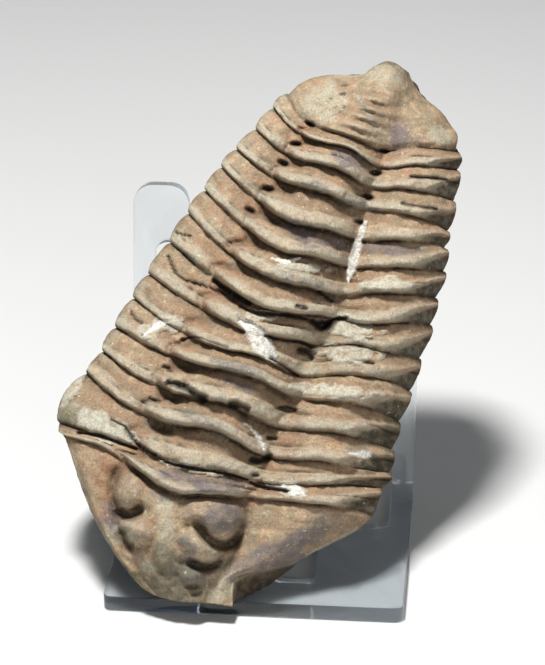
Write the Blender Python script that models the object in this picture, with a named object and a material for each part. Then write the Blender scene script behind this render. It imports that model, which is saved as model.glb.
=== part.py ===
"""Neseuretus tristani trilobite fossil leaning on a stand of bent clear acrylic sheet.

Metres, +Z up. X runs to the right, Y away from the viewer, Z = 0 is the surface the stand
rests on, and the origin is the middle of the whole object's footprint.

The fossil is drawn in a leaning frame of its own, in millimetres: x to the right, y up its
back, z out towards the viewer, from the middle of the base plate's front edge. Its surface
is a grid. Rows follow the animal's own lines, so row 0 is the furrow behind the head, rows 0
to 14 are the furrows of the trunk and rows past 14 are the tail. Along a row, places run
from 0 at the left edge to 1 at the right edge.
"""

import math

import bmesh
import bpy
import numpy as np
from mathutils import Vector

MM = 0.001

# Where the base plate's front edge lies in the object's frame, in millimetres.
FRONT_EDGE = (1.5, -30.8)

# Acrylic sheet, in millimetres.
SHEET = 3.0
WIDTH = 55.0
BASE_DEPTH = 45.2
STAND_HEIGHT = 61.6
BACK_LEAN = math.radians(9.2)
BEND_RADIUS = 2.5
LEG_WIDTH = 4.2
OPENING_FRONT = 31.0
OPENING_TOP = 50.5
DIP_HEIGHT = 55.0
LOBE_WIDTH = 10.7
WINDOW = (21.0, 9.5, 25.5)

# The leaning frame: how far it is tipped back from upright, and turned about Z, and the eye
# it was drawn from. Then how near the stone comes to the sheet, and how far above the lobes
# it starts to reach back over them.
LEAN = math.radians(26.0)
TURN = math.radians(4.74)
EYE = (3.7, 49.3, 557.8)
REST_GAP = 0.3
CLEAR_OF_LOBES = 3.0

FIRST_ROW = -3
TAIL_ROW = 14
LAST_ROW = 17
# The furrows as traced: each row's number, then x and y at these places along it. The axis,
# which is the rounded middle of the back, lies between places 0.22 and 0.61.
PLACES = (0.0, 0.22, 0.34, 0.49, 0.61, 0.75, 0.89, 1.0)
TRACE = (
    (-3, (-20.1, 2.7), (-17.2, 1.1), (-14.6, 0.4), (-11.0, 0.0), (-8.4, -0.1),
     (-6.8, -0.2), (-5.2, -0.4), (-3.6, -0.7)),
    (-2.6, (-23.0, 6.0), (-19.6, 4.6), (-16.1, 3.5), (-11.5, 2.9), (-7.8, 2.8),
     (-6.2, 2.9), (-4.8, 3.0), (-3.4, 3.2)),
    (-2.3, (-24.9, 8.6), (-21.6, 7.3), (-17.1, 6.0), (-11.7, 5.0), (-6.9, 4.8),
     (-4.9, 4.8), (-3.2, 4.9), (-1.4, 5.0)),
    (-2, (-26.7, 11.5), (-23.4, 10.5), (-18.2, 8.4), (-11.7, 7.0), (-5.5, 6.9),
     (-1.8, 6.6), (1.8, 6.3), (5.4, 6.5)),
    (-1.5, (-29.3, 16.4), (-25.0, 14.3), (-18.9, 12.0), (-11.1, 10.5), (-3.5, 10.4),
     (1.8, 9.9), (6.9, 9.3), (10.6, 8.8)),
    (-1, (-31.4, 21.7), (-25.4, 18.2), (-18.7, 15.2), (-10.3, 13.8), (-1.9, 13.8),
     (5.1, 13.2), (12.0, 12.4), (15.6, 11.3)),
    (0, (-34.4, 30.4), (-23.6, 26.0), (-16.1, 20.6), (-8.8, 19.6), (-1.3, 19.1),
     (8.2, 18.2), (17.5, 17.1), (22.0, 16.0)),
    (1, (-35.2, 32.8), (-21.0, 28.2), (-13.4, 25.1), (-5.9, 24.0), (1.2, 22.0),
     (9.8, 21.3), (16.7, 21.5), (23.8, 20.9)),
    (1.5, (-33.4, 37.9), (-20.5, 31.2), (-12.8, 28.4), (-5.3, 27.0), (1.6, 24.4),
     (10.2, 23.7), (17.3, 23.1), (24.4, 22.2)),
    (2, (-30.1, 41.7), (-19.4, 34.1), (-12.3, 31.9), (-4.8, 30.1), (2.0, 26.6),
     (10.5, 25.9), (17.8, 24.9), (24.8, 23.7)),
    (3, (-27.0, 45.7), (-17.2, 39.2), (-10.4, 37.0), (-3.2, 35.2), (3.6, 31.9),
     (12.0, 31.2), (19.3, 30.1), (25.3, 27.9)),
    (4, (-24.7, 50.1), (-14.6, 44.8), (-7.2, 42.6), (0.3, 40.6), (7.6, 37.5),
     (14.9, 36.6), (21.8, 35.4), (26.6, 33.0)),
    (5, (-21.4, 55.4), (-11.9, 48.8), (-5.3, 46.1), (1.4, 44.6), (8.3, 41.5),
     (16.4, 41.4), (24.9, 40.5), (28.6, 38.6)),
    (6, (-18.7, 59.8), (-8.8, 53.2), (-1.9, 49.8), (5.1, 48.3), (11.8, 46.8),
     (18.9, 46.8), (26.6, 45.2), (30.4, 44.6)),
    (7, (-14.8, 65.6), (-6.4, 58.7), (0.7, 54.3), (7.6, 52.7), (14.9, 51.8),
     (21.3, 50.7), (28.6, 51.0), (32.4, 50.7)),
    (8, (-11.4, 70.9), (-3.7, 63.1), (2.7, 59.2), (9.4, 57.5), (15.8, 56.0),
     (22.6, 56.2), (29.5, 56.0), (33.3, 55.6)),
    (9, (-8.4, 75.1), (-1.0, 67.8), (4.9, 63.9), (10.9, 62.7), (16.9, 61.1),
     (24.0, 61.0), (31.1, 60.6), (34.8, 60.5)),
    (10, (-5.3, 79.3), (1.6, 72.6), (7.2, 69.1), (12.9, 67.9), (18.6, 66.0),
     (25.5, 66.0), (32.4, 65.5), (35.0, 64.7)),
    (11, (-2.6, 82.6), (4.1, 77.3), (9.4, 75.6), (14.5, 73.7), (19.8, 71.6),
     (25.7, 71.0), (31.9, 69.5), (35.5, 67.8)),
    (12, (0.9, 86.2), (6.7, 81.3), (11.6, 79.8), (16.5, 78.3), (21.5, 75.7),
     (27.3, 75.4), (33.5, 74.3), (36.6, 73.3)),
    (13, (4.1, 90.1), (9.3, 85.0), (13.8, 83.6), (18.4, 82.3), (22.9, 79.5),
     (28.4, 79.8), (33.7, 79.5), (37.3, 78.9)),
    (14, (6.7, 92.8), (10.5, 87.3), (14.9, 85.5), (19.5, 84.0), (23.8, 82.4),
     (29.1, 83.1), (34.4, 82.8), (37.2, 82.2)),
    (15, (9.6, 95.2), (15.3, 90.7), (18.6, 89.3), (22.3, 88.1), (25.6, 87.0),
     (29.2, 87.2), (33.0, 87.5), (35.4, 88.3)),
    (16, (14.5, 96.3), (19.1, 94.2), (21.6, 93.4), (24.6, 92.6), (27.3, 91.5),
     (28.9, 91.5), (30.6, 91.6), (32.2, 91.4)),
    (17, (20.0, 96.1), (21.5, 97.3), (23.3, 98.4), (25.9, 98.5), (27.9, 97.2),
     (28.4, 96.8), (28.8, 96.2), (29.3, 94.5)),
)

# Height of the back's broad form above the leaning plane, at places along five rows.
FORM_ROWS = (-3, -1.5, 0, 7, 14, 15.6, 17)
FORM_PLACES = (0.0, 0.10, 0.22, 0.31, 0.42, 0.52, 0.61, 0.75, 0.89, 1.0)
FORM = ((0.8, 1.2, 1.8, 2.2, 2.4, 2.4, 2.4, 2.5, 2.5, 2.3),
        (-1.0, 1.8, 2.4, 5.4, 6.4, 5.8, 2.9, 3.2, 2.0, -1.0),
        (-3.0, 1.0, 2.2, 5.4, 6.8, 6.0, 3.2, 4.0, 2.4, -2.0),
        (-4.0, 0.4, 1.8, 5.2, 7.0, 6.0, 3.0, 3.8, 2.0, -3.5),
        (-3.5, 0.2, 1.2, 4.0, 5.2, 4.7, 2.8, 2.6, 0.6, -3.5),
        (-6.5, -3.0, -0.6, 1.2, 2.4, 2.1, 0.5, -0.6, -3.2, -7.0),
        (-9.0, -8.0, -6.4, -5.4, -5.0, -5.4, -6.4, -7.6, -9.0, -10.0))
SLOPE_BACK = 0.12

# One rib, step by step from its furrow on the head side to the next furrow: a steep face, a
# lip, the crest, a ledge and a low half ring. The ledge's own step changes across the animal.
RIB_SHAPE_AT = (0.0, 0.09, 0.17, 0.26, 0.35, 0.42, 0.50, 0.65, 0.80, 1.0)
RIB_SHAPE = (0.0, 0.82, 1.0, 0.98, 0.88, 0.72, 0.44, 0.36, 0.27, 0.0)
LEDGE = 0.45
LEDGE_PLACES = (0.0, 0.22, 0.30, 0.60, 0.75, 1.0)
LEDGE_STEPS = (0.30, 0.36, 0.52, 0.52, 0.52, 0.52)
RIB_HEIGHT_PLACES = (0.0, 0.10, 0.20, 0.27, 0.42, 0.56, 0.62, 0.75, 0.89, 1.0)
RIB_HEIGHT = (1.1, 1.5, 1.4, 3.3, 3.7, 3.2, 1.6, 1.8, 2.1, 2.0)
# For each furrow from 0 on, how high the lip past it stands, and how deep its pit is.
LIP = (1.0, 0.55, 1.0, 1.0, 1.0, 0.55, 0.6, 0.95, 0.85, 0.85, 1.0, 0.85, 0.75, 0.65, 0.5)
PIT = (0.6, 0.2, 1.0, 1.0, 1.0, 0.2, 0.3, 1.1, 0.6, 0.8, 1.1, 0.9, 0.6, 0.5, 0.0, 0.0)
# The rings are pinched in at the axis's left side: place, reach and share of height lost.
PINCH = (0.217, 0.036, 0.40)
# The knob and the pit at the left end of each axial ring: height, then the step and its
# reach, then the place and its reach.
KNOB = (0.9, 0.20, 0.20, 0.262, 0.030)
HOLE = (-1.4, 0.86, 0.18, 0.252, 0.036)
# The flat facet at the right end of each rib: where it starts and how much of the rib it takes.
FACET_FROM = 0.84
FACET_STEP = 0.11
FACET_SPREAD = 0.60
# How far each rib's end stands out past the traced edge.
LEFT_TIP_REACH = 1.0
RIGHT_TIP_REACH = 0.9
# The corner that stands out at the tail's right edge: its row, its reach in rows and in mm.
TAIL_CORNER = (14.5, 0.28, 0.9)
# How high the head's and the tail's sides of their furrows stand, as shares of a rib, and
# over how many rows they rise.
HEAD_SIDE = (0.25, 0.15)
TAIL_SIDE = (0.60, 0.22)
# Low rings of the tail: share of a rib, rings to a row, middle place and its reach, and the
# row where they have faded out.
TAIL_RINGS = (0.2, 2.5, 0.44, 0.12, 16.3)

# Lumps and hollows of the head and tail: x, y, half length, half width, turn in degrees,
# height. The lobes of the glabella stand up and the furrows between them go down.
HEAD_LUMPS = ((-22.6, 20.3, 3.2, 2.6, 80, 1.9), (-21.0, 13.4, 3.0, 2.4, -50, 1.7),
              (-7.0, 16.0, 6.0, 3.9, -8, 2.4), (-9.0, 9.8, 5.2, 3.0, -32, 1.8),
              (-10.4, 5.1, 3.0, 1.9, -5, 0.9), (-22.6, 16.7, 2.6, 1.4, 10, -1.8),
              (-22.2, 10.6, 1.8, 1.3, -35, -1.4), (-7.6, 12.4, 4.0, 1.8, -32, -0.8),
              (-2.4, 13.0, 2.4, 1.7, 55, -1.0), (-8.6, 6.8, 4.0, 1.6, 5, -1.1),
              (24.8, 95.6, 4.8, 3.9, -6, 1.3))

# Underside: how deep the rock that fills the animal goes, how it slopes and waves, how much
# the side walls draw it in, and how it thins towards both ends. Round one row, with a reach
# in rows, its right side is pushed out into a foot under the chin, by x and y.
ROCK_DEPTH = 14.6
ROCK_SIDE_SLOPE = 0.05
ROCK_WAVE = (0.8, 0.35, 0.22)
WALL_INSET = 0.904
END_THICKNESS = 2.4
TAPER_ROWS = (1.2, 1.6)
CHIN_ROW = (-2.4, 0.45)
CHIN_FOOT = (5.0, -2.4)

# Grid of the solid: the rows of each part of the animal, and the columns of each side. The
# last table spreads the back's columns, closer together at its edges.
ROW_STEPS = (0.0, 0.09, 0.28, 0.46, 0.57, 0.79)
HEAD_ROWS = 22
TAIL_ROWS = 11
BACK_COLUMNS = 31
WALL_COLUMNS = 2
ROCK_COLUMNS = 6
COLUMN_SPREAD = ((0, 0.18, 0.74, 1), (0, 0.2, 0.64, 1))


def clear_scene():
    """Remove every object so the script starts from nothing."""
    for item in list(bpy.data.objects):
        bpy.data.objects.remove(item, do_unlink=True)


def material(name, colour, roughness, alpha=1.0, transmission=0.0):
    """Plain Principled material with a linear RGB colour."""
    made = bpy.data.materials.new(name)
    made.use_nodes = True
    shader = made.node_tree.nodes["Principled BSDF"]
    shader.inputs["Base Color"].default_value = (*colour, 1.0)
    shader.inputs["Roughness"].default_value = roughness
    shader.inputs["Alpha"].default_value = alpha
    shader.inputs["Transmission Weight"].default_value = transmission
    return made


def add_mesh(name, verts, faces, finish):
    """One mesh object from vertices in metres."""
    mesh = bpy.data.meshes.new(name)
    mesh.from_pydata([tuple(v) for v in verts], [], faces)
    mesh.materials.append(finish)
    mesh.update()
    thing = bpy.data.objects.new(name, mesh)
    bpy.context.scene.collection.objects.link(thing)
    return thing


def curve(knots, values, at):
    """Natural cubic curve through the rows of values at the knots, read at the places at."""
    knots = np.asarray(knots, float)
    values = np.asarray(values, float)
    at = np.asarray(at, float)
    gaps = np.diff(knots)
    slopes = np.diff(values, axis=0) / gaps[:, None]
    system = np.eye(len(knots))
    right = np.zeros_like(values)
    for i in range(1, len(knots) - 1):
        system[i, i - 1:i + 2] = gaps[i - 1], 2 * (gaps[i - 1] + gaps[i]), gaps[i]
        right[i] = 6 * (slopes[i] - slopes[i - 1])
    bends = np.linalg.solve(system, right)
    i = np.clip(np.searchsorted(knots, at, side="right") - 1, 0, len(knots) - 2)
    gap = gaps[i][:, None]
    b = (at - knots[i])[:, None] / gap
    a = 1 - b
    cubic = ((a**3 - a) * bends[i] + (b**3 - b) * bends[i + 1]) * gap**2 / 6
    return a * values[i] + b * values[i + 1] + cubic


def plate_point(along, depth):
    """Y and Z on the bent sheet: along it from the front edge, at a depth below its top."""
    turn = math.pi / 2 - BACK_LEAN
    bend_start = BASE_DEPTH - BEND_RADIUS * math.tan(turn / 2)
    bend_length = BEND_RADIUS * turn
    angle = min(max(along - bend_start, 0.0) / BEND_RADIUS, turn)
    radius = BEND_RADIUS + depth
    straight = max(along - bend_start - bend_length, 0.0)
    y = min(along, bend_start) + radius * math.sin(angle) + straight * math.cos(turn)
    z = SHEET + BEND_RADIUS - radius * math.cos(angle) + straight * math.sin(turn)
    return y, z


def along_at_height(height):
    """Distance along the sheet at which its upright back reaches a height."""
    turn = math.pi / 2 - BACK_LEAN
    bend_start = BASE_DEPTH - BEND_RADIUS * math.tan(turn / 2)
    bend_top = SHEET + BEND_RADIUS * (1 - math.cos(turn))
    return bend_start + BEND_RADIUS * turn + (height - bend_top) / math.sin(turn)


def rounded(corners, steps=4):
    """Outline through corners (x, y, radius), each rounded by an arc with its radius."""
    points = []
    for i, (x, y, radius) in enumerate(corners):
        here = Vector((x, y))
        to_last = (Vector(corners[i - 1][:2]) - here).normalized()
        to_next = (Vector(corners[(i + 1) % len(corners)][:2]) - here).normalized()
        half = to_last.angle(to_next) / 2
        centre = here + (to_last + to_next).normalized() * radius / math.sin(half)
        start = here + to_last * radius / math.tan(half) - centre
        end = here + to_next * radius / math.tan(half) - centre
        for k in range(steps + 1):
            points.append(centre + start.slerp(end, k / steps).normalized() * radius)
    return points


def make_stand(finish):
    """Flat sheet with its window and opening cut, bent up along a line and given thickness."""
    half = WIDTH / 2
    top = along_at_height(STAND_HEIGHT)
    dip = along_at_height(DIP_HEIGHT)
    inner = half - LOBE_WIDTH
    outline = rounded([(-half, 0, 1.5), (half, 0, 1.5), (half, top, 3.8), (inner, top, 3.8),
                       (inner, dip, 2.0), (-inner, dip, 2.0), (-inner, top, 3.8),
                       (-half, top, 3.8)])
    leg = half - LEG_WIDTH
    ceiling = along_at_height(OPENING_TOP)
    opening = rounded([(-leg, OPENING_FRONT, 2.5), (leg, OPENING_FRONT, 2.5),
                       (leg, ceiling, 2.5), (-leg, ceiling, 2.5)])
    wide, front, back = WINDOW
    window = rounded([(-wide / 2, front, 1.2), (wide / 2, front, 1.2),
                      (wide / 2, back, 1.2), (-wide / 2, back, 1.2)], steps=2)

    drawn = bpy.data.curves.new("sheet outline", "CURVE")
    drawn.dimensions = "2D"
    drawn.fill_mode = "BOTH"
    drawn.extrude = SHEET / 2
    for ring in (outline, opening, window):
        spline = drawn.splines.new("POLY")
        spline.points.add(len(ring) - 1)
        spline.use_cyclic_u = True
        for point, place in zip(spline.points, ring):
            point.co = (place.x, place.y, 0.0, 1.0)
    flat = bpy.data.objects.new("sheet outline", drawn)
    bpy.context.scene.collection.objects.link(flat)
    seen = flat.evaluated_get(bpy.context.evaluated_depsgraph_get())
    mesh = bpy.data.meshes.new_from_object(seen)
    bpy.data.objects.remove(flat, do_unlink=True)

    sheet = bmesh.new()
    sheet.from_mesh(mesh)
    bpy.data.meshes.remove(mesh)
    bmesh.ops.remove_doubles(sheet, verts=sheet.verts, dist=0.001)
    turn = math.pi / 2 - BACK_LEAN
    bend_start = BASE_DEPTH - BEND_RADIUS * math.tan(turn / 2)
    for k in range(7):
        cut = bend_start + BEND_RADIUS * turn * k / 6
        bmesh.ops.bisect_plane(sheet, geom=sheet.verts[:] + sheet.edges[:] + sheet.faces[:],
                               dist=1e-5, plane_co=(0, cut, 0), plane_no=(0, 1, 0))
    bmesh.ops.triangulate(sheet, faces=sheet.faces[:])
    for vert in sheet.verts:
        y, z = plate_point(vert.co.y, SHEET / 2 - vert.co.z)
        vert.co = Vector((vert.co.x + FRONT_EDGE[0], y + FRONT_EDGE[1], z)) * MM
    bmesh.ops.recalc_face_normals(sheet, faces=sheet.faces[:])
    built = bpy.data.meshes.new("stand")
    sheet.to_mesh(built)
    sheet.free()
    built.materials.append(finish)
    stand = bpy.data.objects.new("stand", built)
    bpy.context.scene.collection.objects.link(stand)
    return stand


def bell(value, middle, width):
    """Smooth bump of height 1 around the middle."""
    return np.exp(-((value - middle) / width)**2)


def rib_height(rows, places):
    """Height of the ribs and tail rings on a grid of rows and places, in millimetres."""
    tall = curve(RIB_HEIGHT_PLACES, np.array(RIB_HEIGHT)[:, None], places)[:, 0]
    tall = tall * (1 - PINCH[2] * bell(places, *PINCH[:2]))
    segment = np.clip(np.floor(rows), 0, TAIL_ROW).astype(int)
    passed = rows[:, None] - segment[:, None]
    ledge = np.interp(places, LEDGE_PLACES, LEDGE_STEPS)[None, :]
    step = np.where(passed < ledge, passed * LEDGE / ledge,
                    LEDGE + (passed - ledge) * (1 - LEDGE) / (1 - ledge))
    facet = FACET_SPREAD * np.clip((places[None, :] - FACET_FROM) / (1 - FACET_FROM), 0, 1)
    facet += FACET_STEP
    high = FACET_STEP + (step - facet) / (1 - facet) * (1 - FACET_STEP)
    rib = np.interp(np.where(step < facet, step / facet * FACET_STEP, high),
                    RIB_SHAPE_AT, RIB_SHAPE)
    rib = tall * rib * np.array(LIP)[segment][:, None]
    knob, hole = (height * bell(passed, at, reach) * bell(places, place, across)
                  for height, at, reach, place, across in (KNOB, HOLE))
    rib += knob * np.array(LIP)[segment][:, None] + hole * np.array(PIT)[segment + 1][:, None]

    head = HEAD_SIDE[0] * (1 - bell(rows, 0, HEAD_SIDE[1]))[:, None]
    tail = TAIL_SIDE[0] * (1 - bell(rows, TAIL_ROW, TAIL_SIDE[1]))[:, None]
    share, pace, middle, across, faded = TAIL_RINGS
    ring = np.interp((rows[:, None] - TAIL_ROW) * pace % 1.0, RIB_SHAPE_AT, RIB_SHAPE)
    tail = tail + share * ring * bell(places, middle, across) * np.clip(faded - rows, 0, 1)[:, None]
    rib = np.where(rows[:, None] < 0, tall * head, rib)
    return np.where(rows[:, None] >= TAIL_ROW, tall * tail, rib)


def lumps(x, y, table):
    """Sum of smooth oval lumps at the places x, y."""
    total = np.zeros_like(x)
    for centre_x, centre_y, long, wide, turn, height in table:
        c, s = math.cos(math.radians(turn)), math.sin(math.radians(turn))
        dx, dy = x - centre_x, y - centre_y
        reach = ((dx * c + dy * s) / long)**2 + ((dy * c - dx * s) / wide)**2
        total += height * np.exp(-reach)
    return total


def back_surface(rows, places):
    """The animal's back on a grid: arrays of x, y and z in the leaning frame."""
    knots = [row for row, *_ in TRACE]
    traced = np.array([line for _, *line in TRACE]).reshape(len(TRACE), -1)
    lines = curve(knots, traced, rows).reshape(len(rows), len(PLACES), 2).transpose(1, 0, 2)
    in_trunk = (rows > 1) & (rows < TAIL_ROW)
    left, right = (np.where(in_trunk, 2 * np.sqrt(step * (1 - step)), 0)
                   for step in ((rows % 1)**0.8, (rows % 1)**1.8))
    lines[0] += LEFT_TIP_REACH * left[:, None] * (-0.85, 0.5)
    lines[-1, :, 0] += RIGHT_TIP_REACH * right
    lines[-1, :, 0] += TAIL_CORNER[2] * bell(rows, *TAIL_CORNER[:2])
    grid = curve(PLACES, lines.reshape(len(PLACES), -1), places)
    grid = grid.reshape(len(places), len(rows), 2)
    x, y = grid[:, :, 0].T, grid[:, :, 1].T
    form = curve(FORM_ROWS, FORM, rows)
    form = curve(FORM_PLACES, form.T, places).T
    z = form - SLOPE_BACK * y + rib_height(rows, places) + lumps(x, y, HEAD_LUMPS)
    return x, y, z


def line_of_sight(x, y, z):
    """Move points standing out by z along their lines to the eye the form was drawn from."""
    keep = 1 - z / EYE[2]
    return EYE[0] + (x - EYE[0]) * keep, EYE[1] + (y - EYE[1]) * keep, z


def to_object(x, y, z):
    """From the leaning frame to the object's frame, resting on the base and the back."""
    right = np.array((math.cos(TURN), math.sin(TURN), 0))
    toward = np.array((math.sin(TURN) * math.cos(LEAN), -math.cos(TURN) * math.cos(LEAN),
                       math.sin(LEAN)))
    up = np.cross(toward, right)
    spot = (np.array((*FRONT_EDGE, SHEET)) + x[..., None] * right + y[..., None] * up
            + z[..., None] * toward)
    spot[..., 2] = np.maximum(spot[..., 2], SHEET + REST_GAP)
    stand_back = FRONT_EDGE[1] + BASE_DEPTH + (spot[..., 2] - SHEET) * math.tan(BACK_LEAN)
    over_lobes = np.maximum(spot[..., 2] - STAND_HEIGHT - CLEAR_OF_LOBES, 0)
    spot[..., 1] = np.minimum(spot[..., 1], stand_back - REST_GAP / math.cos(BACK_LEAN)
                              + 2 * over_lobes)
    return spot * MM


def make_fossil(finish):
    """The whole stone: the ribbed back, side walls drawn in, and the rock underneath."""
    rows = np.concatenate([np.linspace(FIRST_ROW, 0, HEAD_ROWS, endpoint=False),
                           (np.arange(TAIL_ROW)[:, None] + np.array(ROW_STEPS)).ravel(),
                           np.linspace(TAIL_ROW, LAST_ROW, TAIL_ROWS)])
    places = np.interp(np.linspace(0, 1, BACK_COLUMNS), *COLUMN_SPREAD)
    x, y, z = back_surface(rows, places)

    ends = np.minimum((rows - FIRST_ROW) / TAPER_ROWS[0], (LAST_ROW - rows) / TAPER_ROWS[1])
    taper = np.clip(ends, 0, 1)
    taper = np.sqrt(1 - (1 - taper)**2)[:, None]
    centre_x, centre_y = x.mean(axis=1, keepdims=True), y.mean(axis=1, keepdims=True)

    def rock(fraction):
        """Underside across the stone, fraction 0 at the right edge and 1 at the left."""
        low_x = x[:, -1:] + (x[:, :1] - x[:, -1:]) * fraction
        low_y = y[:, -1:] + (y[:, :1] - y[:, -1:]) * fraction
        low_x = centre_x + (low_x - centre_x) * WALL_INSET
        low_y = centre_y + (low_y - centre_y) * WALL_INSET
        chin = bell(rows, *CHIN_ROW)[:, None] * (1 - fraction)
        low_x, low_y = low_x + CHIN_FOOT[0] * chin, low_y + CHIN_FOOT[1] * chin
        rim = np.minimum(z[:, :1], z[:, -1:]) - END_THICKNESS
        deep = (-ROCK_DEPTH - SLOPE_BACK * low_y + ROCK_SIDE_SLOPE * low_x
                + ROCK_WAVE[0] * np.sin(low_x * ROCK_WAVE[1]) * np.cos(low_y * ROCK_WAVE[2]))
        plate = (REST_GAP - low_y * math.cos(LEAN)) / math.sin(LEAN)
        deep = np.minimum(np.maximum(deep, plate), rim)
        return low_x, low_y, rim + (deep - rim) * taper

    across = np.linspace(0, 1, ROCK_COLUMNS)[None, :]
    low = rock(across)
    down = np.linspace(0, 1, WALL_COLUMNS + 2)[None, 1:-1]
    right_wall = [a[:, -1:] + (b[:, :1] - a[:, -1:]) * down for a, b in zip((x, y, z), low)]
    left_wall = [b[:, -1:] + (a[:, :1] - b[:, -1:]) * down for a, b in zip((x, y, z), low)]
    loops = [np.concatenate(parts, axis=1) for parts in zip((x, y, z), right_wall, low,
                                                            left_wall)]
    points = to_object(*line_of_sight(*loops))

    count, around = points.shape[:2]
    verts = points.reshape(-1, 3)
    here = np.arange(count * around).reshape(count, around)
    beside = np.roll(here, -1, axis=1)
    quads = np.stack([here[:-1], beside[:-1], beside[1:], here[1:]], axis=-1).reshape(-1, 4)
    ends = np.array([points[0].mean(axis=0), points[-1].mean(axis=0)])
    first, last = len(verts), len(verts) + 1
    caps = [(first, b, a) for a, b in zip(here[0], beside[0])]
    caps += [(last, a, b) for a, b in zip(here[-1], beside[-1])]
    verts = np.concatenate([verts, ends])
    return add_mesh("fossil", verts, quads.tolist() + [[int(i) for i in c] for c in caps],
                    finish)


clear_scene()
stone = material("ochre mudstone", (0.42, 0.29, 0.18), 0.9)
acrylic = material("clear acrylic", (0.9, 0.94, 0.97), 0.05, 0.35, 1.0)
fossil = make_fossil(stone)
stand = make_stand(acrylic)
for shape in (fossil, stand):
    low = [min((shape.matrix_world @ v.co)[k] for v in shape.data.vertices) for k in range(3)]
    high = [max((shape.matrix_world @ v.co)[k] for v in shape.data.vertices) for k in range(3)]
    print(shape.name, "mm", [round(v * 1000, 1) for v in low], [round(v * 1000, 1) for v in high])
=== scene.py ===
# %% [markdown]
# A fossil trilobite leaning on a clear acrylic stand. The solid model is loaded first, as a
# fixed frame in metres. The fossil and the stand are then made again as finer surfaces in the
# same places, each gets its material, and the camera stands where the photographer stood.

# %% Load the frame
import math

import bmesh
import bpy
import numpy as np
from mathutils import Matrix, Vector


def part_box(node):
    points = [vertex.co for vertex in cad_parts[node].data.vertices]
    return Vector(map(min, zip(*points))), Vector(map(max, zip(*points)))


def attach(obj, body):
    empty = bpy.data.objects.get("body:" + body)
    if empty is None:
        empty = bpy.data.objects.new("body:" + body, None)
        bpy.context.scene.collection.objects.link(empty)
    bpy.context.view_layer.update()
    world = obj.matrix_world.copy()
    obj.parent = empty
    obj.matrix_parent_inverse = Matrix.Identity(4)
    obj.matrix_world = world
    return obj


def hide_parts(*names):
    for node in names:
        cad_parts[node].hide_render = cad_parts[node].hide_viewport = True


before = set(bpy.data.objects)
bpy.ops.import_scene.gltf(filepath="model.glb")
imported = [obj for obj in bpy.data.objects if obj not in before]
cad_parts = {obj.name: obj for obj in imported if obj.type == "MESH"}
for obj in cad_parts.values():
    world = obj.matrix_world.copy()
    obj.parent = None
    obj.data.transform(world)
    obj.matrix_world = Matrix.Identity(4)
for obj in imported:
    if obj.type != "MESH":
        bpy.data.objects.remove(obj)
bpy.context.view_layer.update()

MM = 0.001

# %% [markdown]
# The camera is a long lens about half a metre away, looking down at 26 degrees, so that near
# and far parts keep almost the same scale. The lens follows from the focal length in pixels,
# because Blender counts a camera's sensor along the longer side of the picture.

# %% Camera
stand_low, stand_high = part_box("stand")
FRONT_EDGE = ((stand_low.x + stand_high.x) / 2 / MM, stand_low.y / MM)
CAMERA_DISTANCE = 533.4
CAMERA_RISE = math.radians(26.0)
CAMERA_TURN = math.radians(4.74)
AIM = Vector((FRONT_EDGE[0] + 3.7, FRONT_EDGE[1], 58.0))
FOCAL_PIXELS = 3058.1
PICTURE_LONG_SIDE = 665
SENSOR = 36.0


def direction(turn, rise):
    """Unit vector from the object to a viewer: turn about Z from the front, and rise."""
    flat = math.cos(rise)
    return Vector((math.sin(turn) * flat, -math.cos(turn) * flat, math.sin(rise)))


def placed(name, data):
    """Add an object with this data to the scene, at the origin."""
    made = bpy.data.objects.new(name, data)
    bpy.context.scene.collection.objects.link(made)
    return made


lens = bpy.data.cameras.new("photographer")
lens.sensor_width = SENSOR
lens.lens = FOCAL_PIXELS * SENSOR / PICTURE_LONG_SIDE
lens.clip_start = 0.01
lens.clip_end = 10.0
camera = placed("photographer", lens)
toward_viewer = direction(CAMERA_TURN, CAMERA_RISE)
camera.location = (AIM + toward_viewer * CAMERA_DISTANCE) * MM
camera.rotation_euler = toward_viewer.to_track_quat("Z", "Y").to_euler()
bpy.context.scene.camera = camera
print("lens mm", round(lens.lens, 2))

# %% [markdown]
# The floor is one wide pale sheet. The main light is a small box almost overhead, a little
# to the left, so that every rib throws a short shadow towards the head. A larger, weaker box
# to the right of the camera and a dim sky keep the shadows open.
# Colours are written as they look on a screen, in hex, and one function turns them to the
# linear values that light is added up in.

# %% Floor and light
def linear(colour):
    """Linear RGBA from an sRGB hex colour: (c + 0.055) / 1.055 to the power 2.4 above 0.04."""
    parts = [int(colour[k:k + 2], 16) / 255 for k in (0, 2, 4)]
    return (*(((c + 0.055) / 1.055)**2.4 if c > 0.04045 else c / 12.92 for c in parts), 1.0)


def node(tree, kind, sockets=(), **settings):
    """Add one node with its settings. A socket gets a number, a colour, or another node."""
    made = tree.nodes.new(kind)
    for name, value in settings.items():
        setattr(made, name, value)
    inputs = {socket.identifier: socket for socket in made.inputs}
    for name, value in dict(sockets).items():
        if isinstance(value, bpy.types.Node):
            value = next(out for out in value.outputs if out.enabled)
        if isinstance(value, bpy.types.NodeSocket):
            tree.links.new(value, inputs[name])
        else:
            inputs[name].default_value = value
    return made


def new_material(name):
    """An empty node material: its tree, its Principled shader and its output."""
    made = bpy.data.materials.new(name)
    made.use_nodes = True
    made.node_tree.nodes.clear()
    shader = node(made.node_tree, "ShaderNodeBsdfPrincipled")
    end = node(made.node_tree, "ShaderNodeOutputMaterial", {"Surface": shader})
    return made, made.node_tree, shader, end


def softbox(name, place, size, power, aim=(0, 0, 45)):
    """Square area light at a place in mm, facing a point in the middle of the fossil."""
    data = bpy.data.lights.new(name, "AREA")
    data.shape = "SQUARE"
    data.size = size * MM
    data.energy = power
    box = placed(name, data)
    box.location = Vector(place) * MM
    box.rotation_euler = (Vector(place) - Vector(aim)).to_track_quat("Z", "Y").to_euler()


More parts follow.
